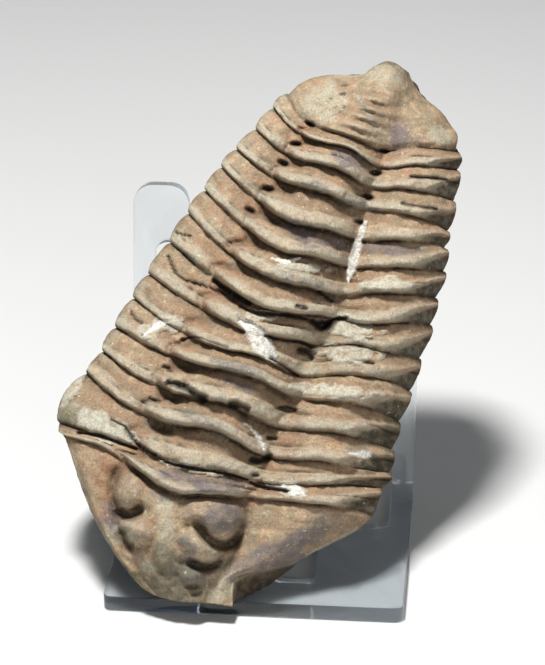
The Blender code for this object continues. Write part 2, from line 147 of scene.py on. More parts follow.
FLOOR_HALF = 1500.0
FLOOR_DROP = 0.05
floor_mesh = bpy.data.meshes.new("floor")
floor_mesh.from_pydata([(x * FLOOR_HALF * MM, y * FLOOR_HALF * MM, -FLOOR_DROP * MM)
                        for x, y in ((-1, -1), (1, -1), (1, 1), (-1, 1))], [], [(0, 1, 2, 3)])
floor = placed("floor", floor_mesh)
paper, _, paper_shader, _ = new_material("matt paper backdrop")
paper_shader.inputs["Base Color"].default_value = linear("c8c8c6")
paper_shader.inputs["Roughness"].default_value = 0.9
floor_mesh.materials.append(paper)

world = bpy.data.worlds.new("studio")
world.use_nodes = True
world.node_tree.nodes["Background"].inputs["Color"].default_value = linear("e6ebf2")
world.node_tree.nodes["Background"].inputs["Strength"].default_value = 0.20
bpy.context.scene.world = world
softbox("overhead box", (-65, -105, 600), 90, 6.0)
softbox("front box", (220, -640, 300), 320, 1.2)
bpy.context.scene.view_settings.view_transform = "Standard"

# %% [markdown]
# The fossil is drawn in a leaning frame: x to the right, y up its back, z out to the viewer.
# Its surface is a grid. Rows follow the animal's own furrows, from the front of the head at
# -3, past the furrow behind the head at 0, to the tail at 17. Along a row, places run from 0
# at the left edge to 1 at the right edge. Each furrow is traced with eight points from edge
# to edge, and a smooth curve joins them. The rounded middle of the back, which ends in the
# axial furrows, lies between places 0.22 and 0.61.

# %% Traced furrows
PLACES = (0.0, 0.22, 0.34, 0.49, 0.61, 0.75, 0.89, 1.0)
# row, then x and y at each of the eight places
TRACE = (
    (-3, -20.1, 2.7, -17.2, 1.1, -14.6, 0.4, -11.0, 0.0, -8.4, -0.1, -6.8, -0.2, -5.2, -0.4, -3.6, -0.7),
    (-2.6, -23.0, 6.0, -19.6, 4.6, -16.1, 3.5, -11.5, 2.9, -7.8, 2.8, -6.2, 2.9, -4.8, 3.0, -3.4, 3.2),
    (-2.3, -24.9, 8.6, -21.6, 7.3, -17.1, 6.0, -11.7, 5.0, -6.9, 4.8, -4.9, 4.8, -3.2, 4.9, -1.4, 5.0),
    (-2, -26.7, 11.5, -23.4, 10.5, -18.2, 8.4, -11.7, 7.0, -5.5, 6.9, -1.8, 6.6, 1.8, 6.3, 5.4, 6.5),
    (-1.5, -29.3, 16.4, -25.0, 14.3, -18.9, 12.0, -11.1, 10.5, -3.5, 10.4, 1.8, 9.9, 6.9, 9.3, 10.6, 8.8),
    (-1, -31.4, 21.7, -25.4, 18.2, -18.7, 15.2, -10.3, 13.8, -1.9, 13.8, 5.1, 13.2, 12.0, 12.4, 15.6,
     11.3),
    (0, -34.4, 30.4, -23.6, 26.0, -16.1, 20.6, -8.8, 19.6, -1.3, 19.1, 8.2, 18.2, 17.5, 17.1, 22.0, 16.0),
    (1, -35.2, 32.8, -21.0, 28.2, -13.4, 25.1, -5.9, 24.0, 1.2, 22.0, 9.8, 21.3, 16.7, 21.5, 23.8, 20.9),
    (1.5, -33.4, 37.9, -20.5, 31.2, -12.8, 28.4, -5.3, 27.0, 1.6, 24.4, 10.2, 23.7, 17.3, 23.1, 24.4,
     22.2),
    (2, -30.1, 41.7, -19.4, 34.1, -12.3, 31.9, -4.8, 30.1, 2.0, 26.6, 10.5, 25.9, 17.8, 24.9, 24.8, 23.7),
    (3, -27.0, 45.7, -17.2, 39.2, -10.4, 37.0, -3.2, 35.2, 3.6, 31.9, 12.0, 31.2, 19.3, 30.1, 25.3, 27.9),
    (4, -24.7, 50.1, -14.6, 44.8, -7.2, 42.6, 0.3, 40.6, 7.6, 37.5, 14.9, 36.6, 21.8, 35.4, 26.6, 33.0),
    (5, -21.4, 55.4, -11.9, 48.8, -5.3, 46.1, 1.4, 44.6, 8.3, 41.5, 16.4, 41.4, 24.9, 40.5, 28.6, 38.6),
    (6, -18.7, 59.8, -8.8, 53.2, -1.9, 49.8, 5.1, 48.3, 11.8, 46.8, 18.9, 46.8, 26.6, 45.2, 30.4, 44.6),
    (7, -14.8, 65.6, -6.4, 58.7, 0.7, 54.3, 7.6, 52.7, 14.9, 51.8, 21.3, 50.7, 28.6, 51.0, 32.4, 50.7),
    (8, -11.4, 70.9, -3.7, 63.1, 2.7, 59.2, 9.4, 57.5, 15.8, 56.0, 22.6, 56.2, 29.5, 56.0, 33.3, 55.6),
    (9, -8.4, 75.1, -1.0, 67.8, 4.9, 63.9, 10.9, 62.7, 16.9, 61.1, 24.0, 61.0, 31.1, 60.6, 34.8, 60.5),
    (10, -5.3, 79.3, 1.6, 72.6, 7.2, 69.1, 12.9, 67.9, 18.6, 66.0, 25.5, 66.0, 32.4, 65.5, 35.0, 64.7),
    (11, -2.6, 82.6, 4.1, 77.3, 9.4, 75.6, 14.5, 73.7, 19.8, 71.6, 25.7, 71.0, 31.9, 69.5, 35.5, 67.8),
    (12, 0.9, 86.2, 6.7, 81.3, 11.6, 79.8, 16.5, 78.3, 21.5, 75.7, 27.3, 75.4, 33.5, 74.3, 36.6, 73.3),
    (13, 4.1, 90.1, 9.3, 85.0, 13.8, 83.6, 18.4, 82.3, 22.9, 79.5, 28.4, 79.8, 33.7, 79.5, 37.3, 78.9),
    (14, 6.7, 92.8, 10.5, 87.3, 14.9, 85.5, 19.5, 84.0, 23.8, 82.4, 29.1, 83.1, 34.4, 82.8, 37.2, 82.2),
    (15, 9.6, 95.2, 15.3, 90.7, 18.6, 89.3, 22.3, 88.1, 25.6, 87.0, 29.2, 87.2, 33.0, 87.5, 35.4, 88.3),
    (16, 14.5, 96.3, 19.1, 94.2, 21.6, 93.4, 24.6, 92.6, 27.3, 91.5, 28.9, 91.5, 30.6, 91.6, 32.2, 91.4),
    (17, 20.0, 96.1, 21.5, 97.3, 23.3, 98.4, 25.9, 98.5, 27.9, 97.2, 28.4, 96.8, 28.8, 96.2, 29.3, 94.5),
)
# the broad form, without ribs: its height in mm at these rows and places
FORM_ROWS = (-3, -1.5, 0, 7, 14, 15.6, 17)
FORM_PLACES = (0.0, 0.10, 0.22, 0.31, 0.42, 0.52, 0.61, 0.75, 0.89, 1.0)
FORM = ((0.8, 1.2, 1.8, 2.2, 2.4, 2.4, 2.4, 2.5, 2.5, 2.3),
        (-1.0, 1.8, 2.4, 5.4, 6.4, 5.8, 2.9, 3.2, 2.0, -1.0),
        (-3.0, 1.0, 2.2, 5.4, 6.8, 6.0, 3.2, 4.0, 2.4, -2.0),
        (-4.0, 0.4, 1.8, 5.2, 7.0, 6.0, 3.0, 3.8, 2.0, -3.5),
        (-3.5, 0.2, 1.2, 4.0, 5.2, 4.7, 2.8, 2.6, 0.6, -3.5),
        (-6.5, -3.0, -0.6, 1.2, 2.4, 2.1, 0.5, -0.6, -3.2, -7.0),
        (-9.0, -8.0, -6.4, -5.4, -5.0, -5.4, -6.4, -7.6, -9.0, -10.0))
SLOPE_BACK = 0.12
# how far the tips of the ribs bulge out in mm, and which way the left ones point
LEFT_TIP_REACH = 1.0
LEFT_TIP_WAY = (-0.85, 0.5)
RIGHT_TIP_REACH = 0.9
# row, reach in rows and size in mm of the corner where the tail begins on the right
TAIL_CORNER = (14.5, 0.28, 0.9)


def bell(value, middle, width):
    """exp(-((value - middle) / width)^2): a smooth bump of height 1."""
    return np.exp(-((value - middle) / width)**2)


def curve(knots, values, at):
    """Natural cubic curve through the rows of values at the knots, read at the places at.

    Between two knots it is a v0 + b v1 + ((a^3 - a) m0 + (b^3 - b) m1) gap^2 / 6, where b is
    the share of the gap passed, a = 1 - b, and the bends m solve one system of equations.
    """
    knots, values, at = (np.asarray(item, float) for item in (knots, values, at))
    gaps = np.diff(knots)
    slopes = np.diff(values, axis=0) / gaps[:, None]
    system = np.eye(len(knots))
    right = np.zeros_like(values)
    inner = np.arange(1, len(knots) - 1)
    system[inner, inner - 1] = gaps[:-1]
    system[inner, inner] = 2 * (gaps[:-1] + gaps[1:])
    system[inner, inner + 1] = gaps[1:]
    right[1:-1] = 6 * np.diff(slopes, axis=0)
    bends = np.linalg.solve(system, right)
    i = np.clip(np.searchsorted(knots, at, side="right") - 1, 0, len(knots) - 2)
    gap = gaps[i][:, None]
    b = (at - knots[i])[:, None] / gap
    a = 1 - b
    cubic = ((a**3 - a) * bends[i] + (b**3 - b) * bends[i + 1]) * gap**2 / 6
    return a * values[i] + b * values[i + 1] + cubic


def traced_grid(rows, places):
    """x and y in mm on a grid: a curve along each place's points, then one across the places.

    In the trunk the ends bulge out between furrows, by 2 (s - s^2)^0.5 times their reach,
    where s is a power of the step: near the furrow on the left, far from it on the right.
    At the front of the tail the right edge has a rounded corner, one bell wide.
    """
    knots = [row for row, *_ in TRACE]
    points = np.array([line for _, *line in TRACE])
    lines = curve(knots, points, rows).reshape(len(rows), len(PLACES), 2).transpose(1, 0, 2)
    in_trunk = (rows > 1) & (rows < 14)
    left, right = (np.where(in_trunk, 2 * np.sqrt(step * (1 - step)), 0)
                   for step in ((rows % 1)**0.8, (rows % 1)**1.8))
    row, reach, size = TAIL_CORNER
    lines[0] += LEFT_TIP_REACH * left[:, None] * LEFT_TIP_WAY
    lines[-1, :, 0] += RIGHT_TIP_REACH * right + size * bell(rows, row, reach)
    grid = curve(PLACES, lines.reshape(len(PLACES), -1), places)
    grid = grid.reshape(len(places), len(rows), 2)
    return grid[:, :, 0].T, grid[:, :, 1].T


# %% [markdown]
# Broken stone is never even, so a few helpers serve every mark that follows. Noise comes
# from a block of random numbers with a fixed seed, so each run gives the same stone. Cracks
# and furrows are drawn by the distance from a line, domes and patches by that from an oval.

# %% Noise, lines and patches
NOISE_CELLS = 32


def noise(points, size, seed, octaves=1):
    """Smooth noise, about -1 to 1, with bumps about size mm across, at points (..., 3).

    Random numbers sit at the corners of cubes. Inside a cube each corner counts by the
    product over x, y and z of 3t^2 - 2t^3. Each further octave is half the size and height.
    """
    table = np.random.default_rng(seed).uniform(-1, 1, (NOISE_CELLS,) * 3)
    total = np.zeros(points.shape[:-1])
    for octave in range(octaves):
        spot = points * 2**octave / size + 11.3 * octave
        cell = np.floor(spot).astype(int)
        share = spot - cell
        share = share * share * (3 - 2 * share)
        for corner in np.ndindex(2, 2, 2):
            weight = np.prod(np.where(corner, share, 1 - share), axis=-1)
            i, j, k = np.moveaxis((cell + corner) % NOISE_CELLS, -1, 0)
            total += weight * table[i, j, k] / 2**octave
    return total


def noises(points, parts):
    """Sum of several noises. Each part is its height, size in mm, seed and octaves."""
    return sum(height * noise(points, *part) for height, *part in parts)


def ease(low, high, value):
    """0 at low, 1 at high, level beyond both, and 3t^2 - 2t^3 between. It falls if low > high."""
    t = np.clip((value - low) / (high - low), 0, 1)
    return t * t * (3 - 2 * t)


def off_line(x, y, line):
    """Distance in mm from places x, y to a smooth line through points, and 0 to 1 along it.

    The line is cut into short straight pieces. The nearest spot on one from a to b is
    a + t (b - a), where t is (p - a).(b - a) / |b - a|^2, held between 0 and 1.
    """
    points = np.reshape(line, (-1, 2))
    ends = len(points) - 1
    path = curve(np.arange(ends + 1), points, np.linspace(0, ends, 4 * ends + 1))
    nearest = np.full(x.shape, 1e9)
    along = np.zeros(x.shape)
    for k, (a, step) in enumerate(zip(path[:-1], np.diff(path, axis=0))):
        t = np.clip(((x - a[0]) * step[0] + (y - a[1]) * step[1]) / (step @ step), 0, 1)
        gap = np.hypot(x - a[0] - t * step[0], y - a[1] - t * step[1])
        along = np.where(gap < nearest, (k + t) / (4 * ends), along)
        nearest = np.minimum(nearest, gap)
    return nearest, along


def oval(x, y, centre_x, centre_y, long, wide, turn):
    """Squared reach of places from an oval's centre: 1 on its outline."""
    c, s = math.cos(math.radians(turn)), math.sin(math.radians(turn))
    dx, dy = x - centre_x, y - centre_y
    return ((dx * c + dy * s) / long)**2 + ((dy * c - dx * s) / wide)**2


# %% [markdown]
# Each trunk segment has the same section. Going from head to tail, a steep face rises out of
# a furrow to a sharp lip and a rounded crest, the crest ends at a ledge, and a flatter half
# ring slips under the next segment. Where the middle of the back meets the left flank, each
# ring ends in a knob over a deep pit. On the right flank the steep face spreads into a flat
# facet, where the animal's ribs slid over each other when it rolled up.

# %% Ribs of the trunk and rings of the tail
RIB_AT = (0.0, 0.03, 0.07, 0.11, 0.17, 0.26, 0.35, 0.42, 0.46, 0.52, 0.65, 0.80, 0.92, 1.0)
RIB = (0.0, 0.12, 0.62, 0.90, 1.0, 0.98, 0.88, 0.72, 0.48, 0.42, 0.36, 0.27, 0.15, 0.0)
LEDGE = 0.45
LEDGE_PLACES = (0.0, 0.22, 0.30, 0.60, 0.75, 1.0)
LEDGE_STEPS = (0.30, 0.36, 0.52, 0.52, 0.52, 0.52)
RIB_HEIGHT_PLACES = (0.0, 0.10, 0.20, 0.27, 0.42, 0.56, 0.62, 0.75, 0.89, 1.0)
RIB_HEIGHT = (1.1, 1.5, 1.4, 3.3, 3.7, 3.2, 1.6, 1.8, 2.1, 2.0)
# place, reach and share of the rib's height lost at the two axial furrows
PINCHES = ((0.217, 0.019, 0.55), (0.619, 0.018, 0.35))
# for each furrow from 0 to 14: how high the lip above it stands, and how deep the pit is
LIP = (1.0, 0.55, 1.0, 1.0, 1.0, 0.55, 0.6, 0.95, 0.85, 0.85, 1.0, 0.85, 0.75, 0.65, 0.5)
PIT = (0.6, 0.2, 1.0, 1.0, 1.0, 0.2, 0.3, 1.1, 0.6, 0.8, 1.1, 0.9, 0.6, 0.5, 0.0, 0.0)
FACET_FROM = 0.84
FACET_STEP = 0.11
FACET_SPREAD = 0.60
# height, then middle and reach through the segment, then middle and reach in places. The
# height is in mm, but 1 for the hole, which is a mask that HOLE_DEPTH is multiplied by.
KNOB = (1.5, 0.25, 0.20, 0.258, 0.026)
HOLE = (1.0, 0.85, 0.18, 0.256, 0.042)
HOLE_DEPTH = 2.6
TIP_DENT = (0.40, 0.45, 0.25, 0.045, 0.010)
# depth in mm, middle and reach in places
GROOVES = ((0.5, 0.217, 0.016), (0.3, 0.619, 0.018))
# pace in rings to a row, share of full height, middle and reach in places, and last row
TAIL_RINGS = (2.6, 0.42, 0.42, 0.11, 16.4)
# share of full height that the front of the tail rises to, and over how many rows
TAIL_FRONT = (0.6, 0.22)


def rib_section(rows, places, wander):
    """Share of full rib height on the trunk, the step through a segment, and its phase.

    The step is the fractional part of row + wander. The phase is the step stretched so
    that the ledge falls at its own place across the animal. On the right flank the rise
    from the furrow is stretched over a share that grows with the place.
    """
    step = (rows[:, None] + wander) % 1.0
    ledge = np.interp(places, LEDGE_PLACES, LEDGE_STEPS)[None, :]
    phase = np.where(step < ledge, step * LEDGE / ledge,
                     LEDGE + (step - ledge) * (1 - LEDGE) / (1 - ledge))
    spread = FACET_SPREAD * np.clip((places[None, :] - FACET_FROM) / (1 - FACET_FROM), 0, 1)
    facet = FACET_STEP + spread
    low = phase / facet
    flat = np.where(spread > 0, 0.22 * low + 0.66 * ease(0.88, 1.0, low), 0)
    sharp = ease(0.0, 0.12, spread)
    high = FACET_STEP + (phase - facet) / (1 - facet) * (1 - FACET_STEP)
    at = np.where(phase < facet, low * FACET_STEP, high)
    section = curve(RIB_AT, np.array(RIB)[:, None], at.ravel())[:, 0].reshape(step.shape)
    section = np.where(phase < facet, section + (flat - section) * sharp, section)
    return section * np.array(LIP)[segment_of(rows)][:, None], step, phase


def segment_of(rows):
    """Number of the furrow that each row lies on or past, held between 0 and 14."""
    return np.clip(np.floor(rows), 0, 14).astype(int)


def bump(step, place, shape):
    """Height times a bell through the segment times a bell across the back."""
    height, middle, reach, middle_place, reach_place = shape
    return height * bell(step, middle, reach) * bell(place, middle_place, reach_place)


def knobs_and_pits(rows, place, wander):
    """Height in mm of each ring's left end, a knob past its furrow and a pit before it.

    A groove runs along each axial furrow, and the left tips are dented. The pits are also
    given as a mask, which the material paints dark as painted shade.
    """
    segment = segment_of(rows)
    step = rows[:, None] - segment[:, None] + wander
    pit = bump(step, place, HOLE) * np.array(PIT)[segment + 1][:, None]
    groove = sum(depth * bell(place, middle, reach) for depth, middle, reach in GROOVES)
    inside = ((rows > 0) & (rows < 14))[:, None]
    height = bump(step, place, KNOB) * np.array(LIP)[segment][:, None]
    height = height - HOLE_DEPTH * pit - groove - bump(step, place, TIP_DENT)
    return inside * height, inside * pit


def tail_section(rows, places, wander):
    """Share of full height on the tail: a soft rise at its front, and rings on its axis.

    The rings are the wave 0.5 - 0.5 cos(2 pi pace row), less its mean, fading to the sides
    and to the end.
    """
    pace, height, middle, reach, last = TAIL_RINGS
    past = rows[:, None] - 14
    wave = 0.5 - 0.5 * np.cos(2 * np.pi * (past + wander) * pace)
    end = np.clip((last - rows[:, None]) / 0.8, 0, 1)
    front = TAIL_FRONT[0] * (1 - bell(past, 0, TAIL_FRONT[1]))
    return front + height * (wave - 0.5) * bell(places[None, :], middle, reach) * end


# %% [markdown]
# The head has its own furniture: swollen lobes on the middle, cut by short furrows, and two
# broad cheeks. A lobe is a dome, and a furrow is a drawn line that sinks the surface by its
# depth times exp(-(distance / width)^2).

# %% Lobes and furrows of the head
# x, y, half length, half width, turn in degrees, height
DOMES = (
    (-22.6, 20.4, 3.8, 3.1, 80, 2.5), (-21.0, 13.3, 3.6, 2.9, -50, 2.3),
    (-7.0, 15.6, 6.6, 4.4, -8, 3.2), (-9.0, 10.1, 5.4, 3.0, -32, 2.5),
    (-10.4, 5.1, 3.3, 2.1, -5, 1.0), (-15.5, 13.0, 4.0, 8.0, 0, 0.8),
    (24.8, 95.6, 6.4, 5.2, -6, 1.5),
)
# x and y of each point, width, depth
FURROWS = (
    (-11.7, 14.2, -10.3, 14.4, -9.2, 13.1, -7.9, 11.5, -6.1, 10.5, -4.2, 10.7, -2.8, 12.0, -1.9, 13.8,
     0.95, 3.3),
    (-12.5, 7.6, -11.0, 7.1, -9.2, 6.5, -7.3, 6.7, -5.9, 7.8, -5.0, 9.3, 0.85, 2.9),
    (-12.5, 3.4, -11.0, 2.9, -9.5, 3.4, 0.45, 0.8),
    (-11.4, 1.6, -10.1, 1.6, -9.0, 2.2, 0.45, 0.7),
    (-24.5, 17.7, -23.8, 16.4, -22.2, 16.0, -20.7, 16.8, -19.4, 16.9, 1.15, 3.3),
    (-23.9, 14.2, -23.5, 12.0, -22.6, 10.4, -21.2, 9.9, 1.0, 2.4),
    (-1.3, 18.4, -1.1, 16.0, -1.7, 13.3, -3.0, 10.0, -4.8, 6.7, -7.0, 3.8, 1.2, 0.9),
    (-23.8, 25.5, -25.2, 22.8, -25.4, 18.7, -24.7, 14.7, -24.1, 11.5, 0.9, 1.2),
    (-14.1, 19.7, -8.6, 19.5, -5.0, 19.1, -2.2, 18.6, 0.6, 1.0),
    (-22.9, 25.3, -21.2, 24.0, -19.0, 22.2, -17.2, 20.9, 0.8, 1.2),
)


def head_relief(x, y):
    """Domes, height (1 - reach)^1.2 inside each oval, less the furrows, and a mask of the deep
    furrows, which the material paints dark as painted shade.

    A furrow sinks by depth exp(-(distance / width)^2), less at its two ends.
    """
    total, deep = np.zeros_like(x), np.zeros_like(x)
    for *shape, height in DOMES:
        total += height * np.clip(1 - oval(x, y, *shape), 0, 1)**1.2
    for *line, width, depth in FURROWS:
        gap, along = off_line(x, y, line)
        cut = depth * bell(gap, 0, width) * np.clip(6 * along * (1 - along), 0.25, 1)
        total -= cut
        deep = np.maximum(deep, ease(0.5, 2.2, cut))
    return total, deep


# %% [markdown]
# Then the damage. Cracks and slots are narrow lines, pits mark where muscles held on, and
# slabs are flakes of pale crust that still cling to the ribs. Scars are scraped level and
# taper to both ends, and the left of the tail has small dark specks. Each keeps a mask from
# 0 to 1, so that the material can colour the same places that the shape has moved.

# %% Cracks, pits, scars and slabs
# x and y of each point, half width, depth
CRACKS = (
    (-31.8, 31.0, -27.8, 30.4, -24.1, 29.1, -21.2, 28.1, 0.27, 1.0),
    (-25.6, 33.3, -23.2, 32.1, -22.1, 30.4, -20.5, 28.6, -17.7, 27.0, 0.27, 1.1),
    (-15.9, 25.7, -12.3, 24.8, -7.7, 24.0, -3.7, 23.3, -0.8, 22.4, 0.24, 0.6),
    (-15.4, 63.3, -14.6, 61.4, -13.2, 59.4, -9.9, 58.1, -7.0, 57.2, -4.8, 56.1, 0.25, 0.9),
    (-7.0, 58.7, -4.8, 57.2, -2.2, 55.6, -0.4, 54.5, 0.40, 1.3),
    (-14.9, 40.2, -13.2, 39.6, -11.4, 38.6, -9.0, 37.4, 0.75, 2.6),
    (-3.9, 36.2, -2.4, 36.0, -1.1, 35.3, 0.55, 2.2),
    (-2.2, 54.1, 0.7, 52.9, 5.1, 52.5, 9.4, 51.9, 11.6, 50.7, 12.9, 50.1, 14.5, 51.6, 17.1, 51.9, 0.30,
     1.6),
    (11.0, 51.2, 12.7, 50.6, 14.0, 51.2, 0.7, 1.4),
    (2.5, 48.7, 5.4, 47.9, 8.7, 47.6, 10.7, 46.7, 0.25, 0.9),
    (8.7, 46.1, 10.0, 45.7, 10.9, 44.6, 0.5, 1.1),
    (3.4, 44.5, 6.2, 42.8, 8.3, 41.4, 0.27, 0.9),
    (-12.3, 48.0, -10.5, 48.5, -8.0, 47.8, -4.5, 46.6, 0.20, 0.5),
    (-0.1, 26.0, 1.4, 25.9, 2.9, 26.6, 0.6, 1.4),
    (-0.4, 22.0, 1.8, 21.1, 3.6, 20.8, 6.2, 20.4, 0.30, 1.1),
    (28.9, 77.7, 31.7, 77.5, 35.3, 77.3, 0.26, 1.0),
    (27.3, 72.9, 29.9, 72.4, 33.7, 71.8, 0.26, 1.0),
    (20.4, 43.9, 22.2, 43.6, 0.25, 0.8),
    (-13.9, 67.6, -12.5, 67.1, -11.2, 66.9, 0.24, 0.6),
    (-22.1, 53.0, -21.4, 51.9, -20.1, 51.0, 0.25, 0.7),
    (5.1, 35.7, 6.9, 35.5, 8.0, 35.0, 0.30, 0.9),
    (2.9, 30.1, 4.3, 29.9, 0.30, 0.9),
    (-16.1, 43.2, -14.8, 42.3, 0.27, 0.9),
    (-18.7, 37.4, -17.7, 36.8, -16.8, 36.8, 0.27, 0.8),
    (12.0, 56.7, 13.4, 55.8, 14.5, 55.0, 0.26, 0.7),
    (8.2, 54.1, 9.8, 53.6, 0.5, 0.9),
)
# x, y, half length, half width, turn in degrees, depth
PITS = (
    (10.5, 87.3, 0.95, 0.42, -25, 1.8), (8.0, 83.7, 0.95, 0.42, -12, 1.8),
    (5.6, 80.2, 1.0, 0.45, -28, 1.9), (2.9, 75.5, 1.1, 0.50, -12, 1.9),
    (24.0, 82.4, 0.95, 0.42, -8, 1.7), (22.4, 78.4, 0.95, 0.45, -8, 1.7),
    (21.1, 74.0, 1.1, 0.45, -20, 1.8), (19.6, 69.4, 0.9, 0.4, -15, 1.4),
    (-0.4, 71.6, 1.0, 0.5, -25, 1.5), (-12.6, 47.9, 0.5, 0.4, 0, 1.0),
    (12.8, 50.6, 1.3, 0.8, -10, 1.4), (0.6, 23.3, 0.8, 0.4, -10, 1.0),
)
# x and y of each point, half width
SCARS = (
    (-2.2, 51.6, -0.1, 49.6, 1.8, 47.0, 4.2, 44.4, 2.0),
    (20.6, 69.3, 19.3, 66.2, 18.4, 62.5, 17.5, 58.7, 1.15),
    (5.6, 21.3, 7.6, 20.5, 9.3, 19.8, 1.1),
    (17.3, 27.5, 21.8, 27.0, 0.9),
    (-20.1, 48.8, -17.4, 50.5, -15.4, 51.4, 0.75),
    (3.6, 62.9, 6.0, 62.3, 8.7, 62.9, 0.6),
    (-1.5, 33.0, 1.0, 30.5, 2.0, 28.0, 0.5),
)
# x, y, half length, half width, turn in degrees
SLABS = (
    (17.5, 45.4, 6.0, 1.7, -4), (18.2, 50.2, 5.6, 2.2, -14), (-16.8, 50.4, 4.4, 1.7, 12),
    (6.0, 21.0, 3.8, 1.2, -18), (1.5, 52.4, 4.4, 0.9, -5), (-27.2, 32.2, 6.4, 2.4, -20),
    (25.1, 58.3, 5.5, 1.5, 0), (14.0, 38.8, 8.0, 1.1, -4), (-33.0, 38.5, 4.2, 1.0, 58),
    (-10.5, 24.6, 6.5, 0.7, -12), (9.0, 61.2, 5.0, 1.0, -6),
)
SPECKLED = (16.0, 91.8, 4.2, 2.2, 50)
SCAR_HEIGHT = 0.15
SLAB_HEIGHT = 0.4


def damage(x, y, spots):
    """Height added by damage, and masks of open cracks, calcite scars and pale slabs.

    A crack sinks by depth exp(-(distance / width)^4), and a pit by depth exp(-reach^4).
    """
    ragged = noise(spots, 1.6, 41, 2)
    cracks, height = np.zeros_like(x), np.zeros_like(x)
    for *line, width, depth in CRACKS:
        gap, _ = off_line(x, y, line)
        cut = np.exp(-(gap / (width * (1 + 0.35 * ragged)))**4)
        height -= depth * cut
        cracks = np.maximum(cracks, cut)
    for *shape, depth in PITS:
        cut = np.exp(-(oval(x, y, *shape) * (1 + 0.4 * ragged))**2)
        height -= depth * cut
        cracks = np.maximum(cracks, cut)
    speckled = ease(0.0, 0.6, 1 - oval(x, y, *SPECKLED))
    cracks = np.maximum(cracks, 0.8 * speckled * ease(0.35, 0.6, noise(spots, 0.8, 71)))
    scars = np.zeros_like(x)
    for *line, width in SCARS:
        gap, along = off_line(x, y, line)
        taper = 0.35 + 0.65 * np.sin(np.pi * along**1.4)
        scars = np.maximum(scars, ease(0.0, 0.3, 1 - gap / (width * taper) + 0.2 * ragged))
    slabs = np.zeros_like(x)
    for shape in SLABS:
        slabs = np.maximum(slabs, ease(0.0, 0.14, 1 - oval(x, y, *shape) + 0.6 * ragged))
    return height + SCAR_HEIGHT * scars + SLAB_HEIGHT * slabs, cracks, scars, slabs


# %% [markdown]
# The stone has stains as well. Iron has rusted in the axial furrows, the purple grey patches
# are manganese, olive mud is left near the right edge and on the chin, and the tips of the
# ribs and parts of the tail are bleached. Shade is painted too: dark on the right facets,
# where they turn from the light, dark along the furrows under each lip, mixed with dirt, and
# a browner tint, partly shade, on the half rings. Each stain is a mask too, with an edge that
# noise makes uneven.

# %% Stains
# x, y, half length, half width, turn in degrees
PURPLE = (
    (-6.4, 15.6, 5.4, 3.2, -8), (-6.0, 21.3, 6.5, 1.7, -4), (3.2, 7.8, 9.5, 3.6, 22),
    (11.0, 13.0, 6.0, 2.4, 35), (-12.0, 6.0, 4.5, 2.6, -20), (8.7, 67.6, 5.0, 2.2, -25),
    (14.2, 66.0, 4.5, 1.6, -15), (24.5, 64.6, 6.5, 1.2, -4), (-2.2, 39.7, 3.0, 1.4, -20),
    (27.5, 85.5, 3.4, 3.6, 0), (-25.6, 14.8, 2.6, 4.0, 10), (18.5, 80.5, 4.5, 1.6, -25),
    (-12.8, 22.5, 4.5, 1.6, -15),
)
OLIVE = (
    (27.6, 33.2, 1.6, 4.2, 20), (25.4, 28.5, 2.4, 4.5, 8), (22.0, 25.5, 2.6, 2.0, 30),
    (-33.5, 33.6, 2.2, 2.2, 0), (-16.0, 6.5, 3.4, 4.5, 30), (-10.8, 62.5, 2.5, 0.8, -35),
)
GREY = (
    (-13.5, 2.5, 6.0, 3.6, -10), (-10.5, 5.5, 3.8, 2.6, -10), (-12.0, 10.0, 1.6, 2.6, 0),
    (-17.0, 19.5, 3.0, 1.0, -30), (19.5, 72.5, 5.0, 0.9, -15), (12.0, 75.8, 3.8, 0.9, -15),
    (-9.6, 33.6, 5.5, 0.9, -18), (-2.5, 42.9, 6.0, 1.0, -16), (8.0, 59.0, 6.0, 0.9, -12),
)
BLEACHED = (
    (12.5, 91.0, 5.5, 3.6, 30), (24.6, 96.6, 4.0, 2.4, -6), (34.0, 85.2, 2.4, 1.6, -30),
    (-24.0, 13.2, 2.8, 3.0, 0), (-15.6, 12.4, 2.0, 5.5, 0), (-16.2, 17.8, 1.8, 1.3, 0),
    (16.0, 52.6, 3.0, 1.2, 0), (17.6, 96.5, 5.0, 0.9, 0), (-6.0, 3.0, 2.6, 4.6, -12),
    (-18.6, 6.2, 2.2, 1.6, -30),
)

# The small rings of the tail are worn and dirty in turn: dabs in a row down its axis.
DABS = tuple((19.2 + 0.85 * k, 92.2 - 1.35 * k, 1.5, 0.4, -38) for k in range(8))
BLEACHED += DABS[::2]
GREY += DABS[1::2]


def patches(x, y, spots, shapes, seed):
    """Mask of ovals, fading over their outer half, with edges broken up by noise."""
    ragged = noise(spots, 2.4, seed, 3)
    mask = np.zeros_like(x)
    for shape in shapes:
        mask = np.maximum(mask, ease(-0.2, 0.7, 1 - oval(x, y, *shape) + 0.55 * ragged))
    return mask


